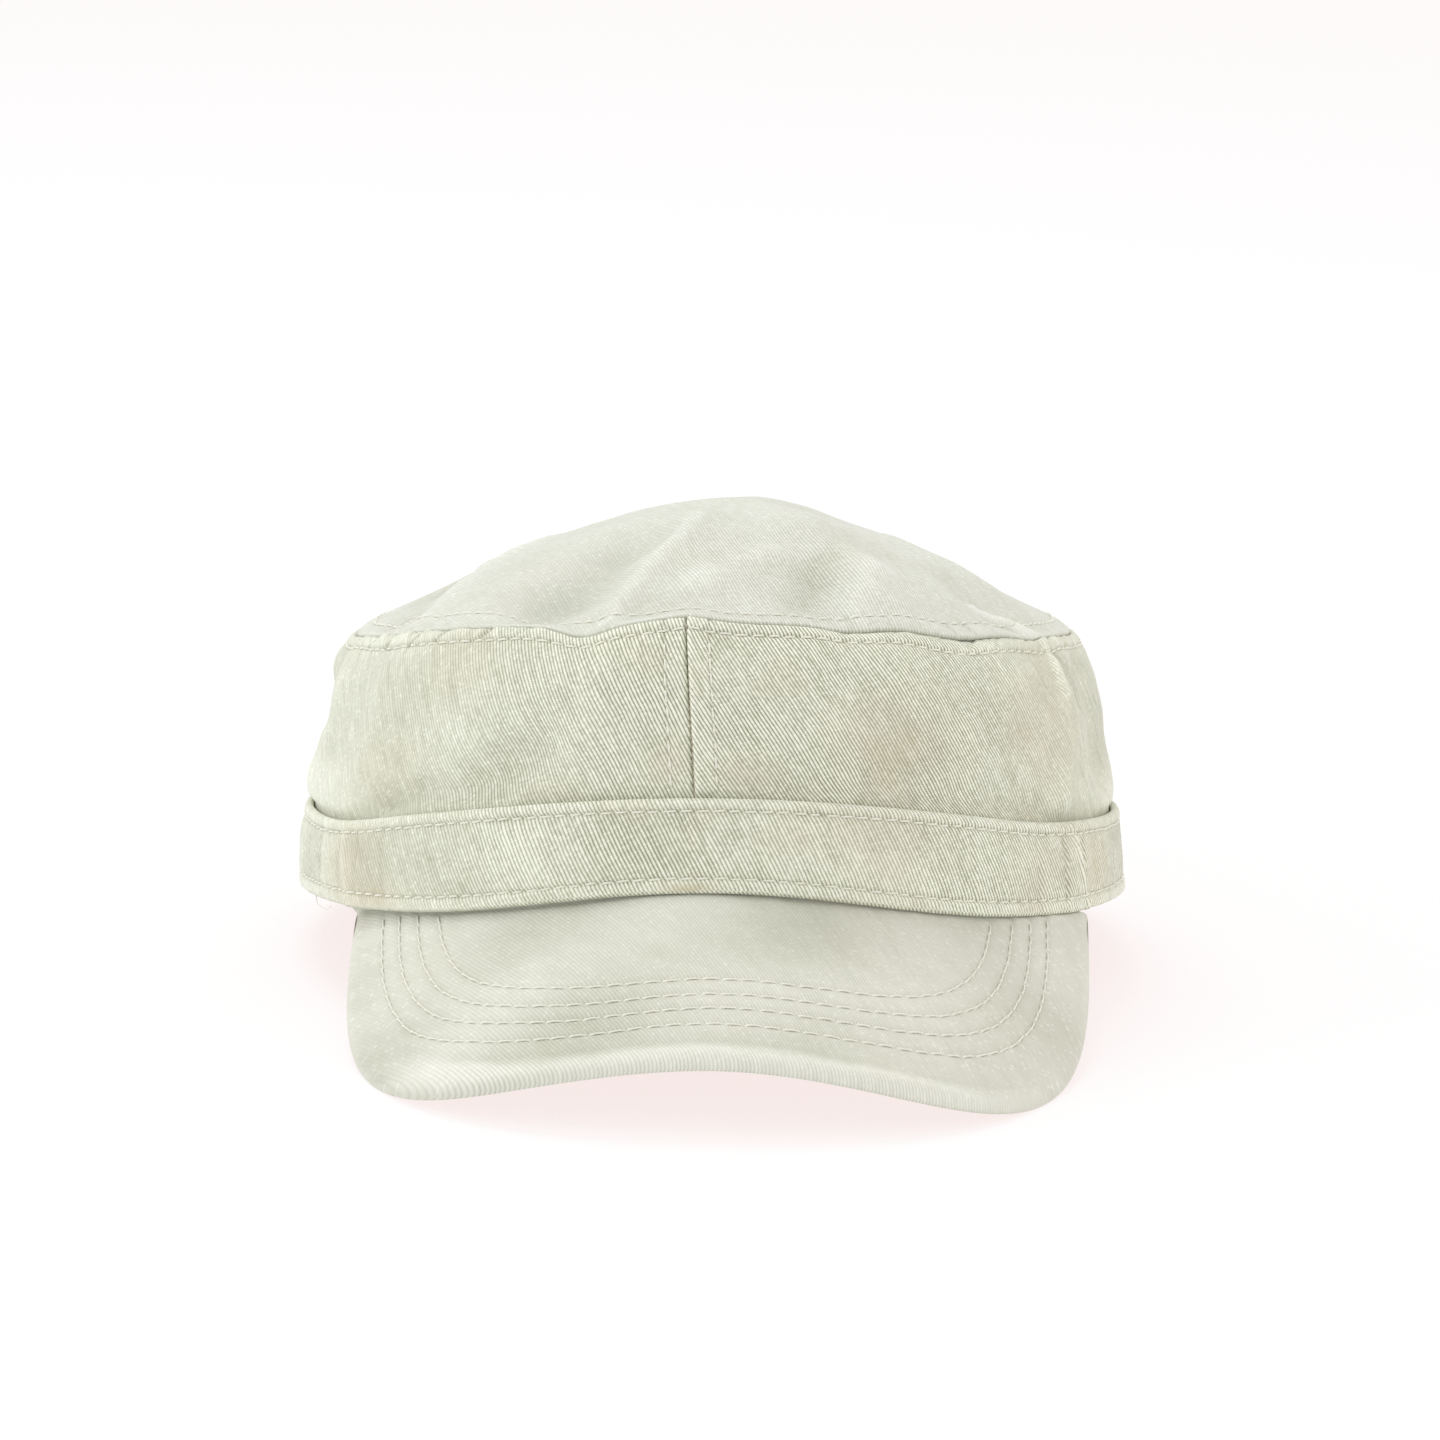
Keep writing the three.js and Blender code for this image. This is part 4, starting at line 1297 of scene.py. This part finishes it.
def make_camera():
    height, roll = math.radians(CAMERA_HEIGHT), math.radians(CAMERA_ROLL)
    look = Vector((0, math.cos(height), -math.sin(height)))
    level_right = Vector((1, 0, 0))
    level_up = level_right.cross(look)
    right = math.cos(roll) * level_right + math.sin(roll) * level_up
    up = -math.sin(roll) * level_right + math.cos(roll) * level_up
    camera = add_object("camera", bpy.data.cameras.new("camera"))
    turn = Matrix((right, up, -look)).transposed().to_4x4()
    place = (Vector(CAMERA_AIM) - look * CAMERA_DISTANCE) * MM
    camera.matrix_world = Matrix.Translation(place) @ turn
    camera.data.sensor_width = SENSOR
    camera.data.lens = CAMERA_DISTANCE / MM_PER_PIXEL / IMAGE_WIDTH * SENSOR
    camera.data.clip_start = NEAREST_SHOWN
    camera.data.clip_end = FARTHEST_SHOWN
    bpy.context.scene.camera = camera


FLOOR_HALF = 6  # metres
FLOOR_GLOW = (0.845, 0.67, 0.67, 1)
FLOOR_COLOUR = (0.152, 0.31, 0.315, 1)
AMBIENT = (1, 0.985, 0.97, 1)
AMBIENT_STRENGTH = 0.86


def make_floor():
    """Pale floor that glows a little, so that it fades into the white studio."""
    mesh = bpy.data.meshes.new("floor")
    half = FLOOR_HALF
    corners = [(-half, -half, 0), (half, -half, 0), (half, half, 0), (-half, half, 0)]
    mesh.from_pydata(corners, [], [(0, 1, 2, 3)])
    floor = add_object("floor", mesh)
    material = bpy.data.materials.new("pale_floor")
    nodes = Nodes(material)
    glow = nodes.add("Emission", {"Color": FLOOR_GLOW, "Strength": 1.0})
    matt = nodes.add("BsdfDiffuse", {"Color": FLOOR_COLOUR})
    both = nodes.add("AddShader", {0: glow.outputs[0], 1: matt.outputs[0]})
    nodes.add("OutputMaterial", {0: both.outputs[0]})
    mesh.materials.append(material)


def make_world():
    """White studio: the backdrop shows white, and lights the cap less than it shows."""
    world = bpy.data.worlds.new("studio")
    bpy.context.scene.world = world
    nodes = Nodes(world)
    is_seen = nodes.add("LightPath").outputs["Is Camera Ray"]
    ambient = nodes.add("Background", {"Color": AMBIENT, "Strength": AMBIENT_STRENGTH})
    shown = nodes.add("Background", {"Color": (1, 1, 1, 1), "Strength": 1.0})
    both = nodes.add("MixShader", {0: is_seen, 1: ambient.outputs[0], 2: shown.outputs[0]})
    nodes.add("OutputWorld", {0: both.outputs[0]})


# Light, its place in metres, its size in metres, its power in watts, its colour
LIGHTS = [
    ("overhead", (-0.3, 0.6, 1.4), 0.8, 5.2, (1, 1, 1)),
    ("left", (-1.6, -0.3, 0.7), 1.0, 5.8, (1, 1, 1)),
    ("right", (1.6, -0.3, 0.6), 1.2, 3.5, (1, 0.87, 0.83)),
]
LIGHT_AIM = Vector((0, 0, 0.05))


def make_lights():
    for name, place, size, power, colour in LIGHTS:
        light = bpy.data.lights.new(name, "AREA")
        light.shape, light.size, light.energy = "DISK", size, power
        light.color = colour
        lamp = add_object(name, light)
        lamp.location = place
        lamp.rotation_mode = "QUATERNION"
        lamp.rotation_quaternion = (LIGHT_AIM - Vector(place)).to_track_quat("-Z", "Y")
    bpy.context.scene.view_settings.view_transform = "Standard"


def make_cap():
    thread = thread_material()
    side_cloth = twill("side")
    band_skin = make_band(twill("band"))
    top_skin = make_top(twill("crown"))
    peak_skin = make_peak(twill("peak"))
    right_skin = make_side_panel("side_panel_right", 1, RIGHT_LEAN, side_cloth)
    left_skin = make_side_panel("side_panel_left", -1, LEFT_LEAN, side_cloth)
    for skin in (band_skin, top_skin, peak_skin, right_skin, left_skin):
        skin["normal"] = normals_of(skin["points"], skin["ring"])
    peak_skin["normal"] = -peak_skin["normal"]  # its rows run forward, not up

    rise, height = band_skin["rise"], band_skin["height"]
    upper = path_across(band_skin, (1 - rise) * height, BAND_UPPER_ROW)
    lower = path_across(band_skin, rise * height, BAND_LOWER_ROW)
    make_stitches("band_stitches", [upper, lower], STITCH_PITCH, thread, 1)
    make_loose_thread(thread)
    row = path_across(top_skin, top_skin["below"], TOP_ROW)
    make_stitches("top_seam_stitches_upper", [row], STITCH_PITCH, thread, 5)
    rows = []
    for skin in (right_skin, left_skin):
        rows.append(path_across(skin, skin["below"], WALL_ROW))
        for edge in ("front", "back"):
            line = path_across(skin, skin[edge], FRONT_SEAM_ROW, by_row=True)
            rows.append(line[SHOWN_OF_UPRIGHT_ROW])
    make_stitches("side_stitches", rows, STITCH_PITCH, thread, 10)
    rows = [peak_row_path(peak_skin, *sizes) for sizes in PEAK_ROWS]
    make_stitches("peak_stitches", rows, PEAK_PITCH, thread, 20, PEAK_FILL, PEAK_GIRTH)


make_camera()
make_world()
make_lights()
make_floor()
make_cap()
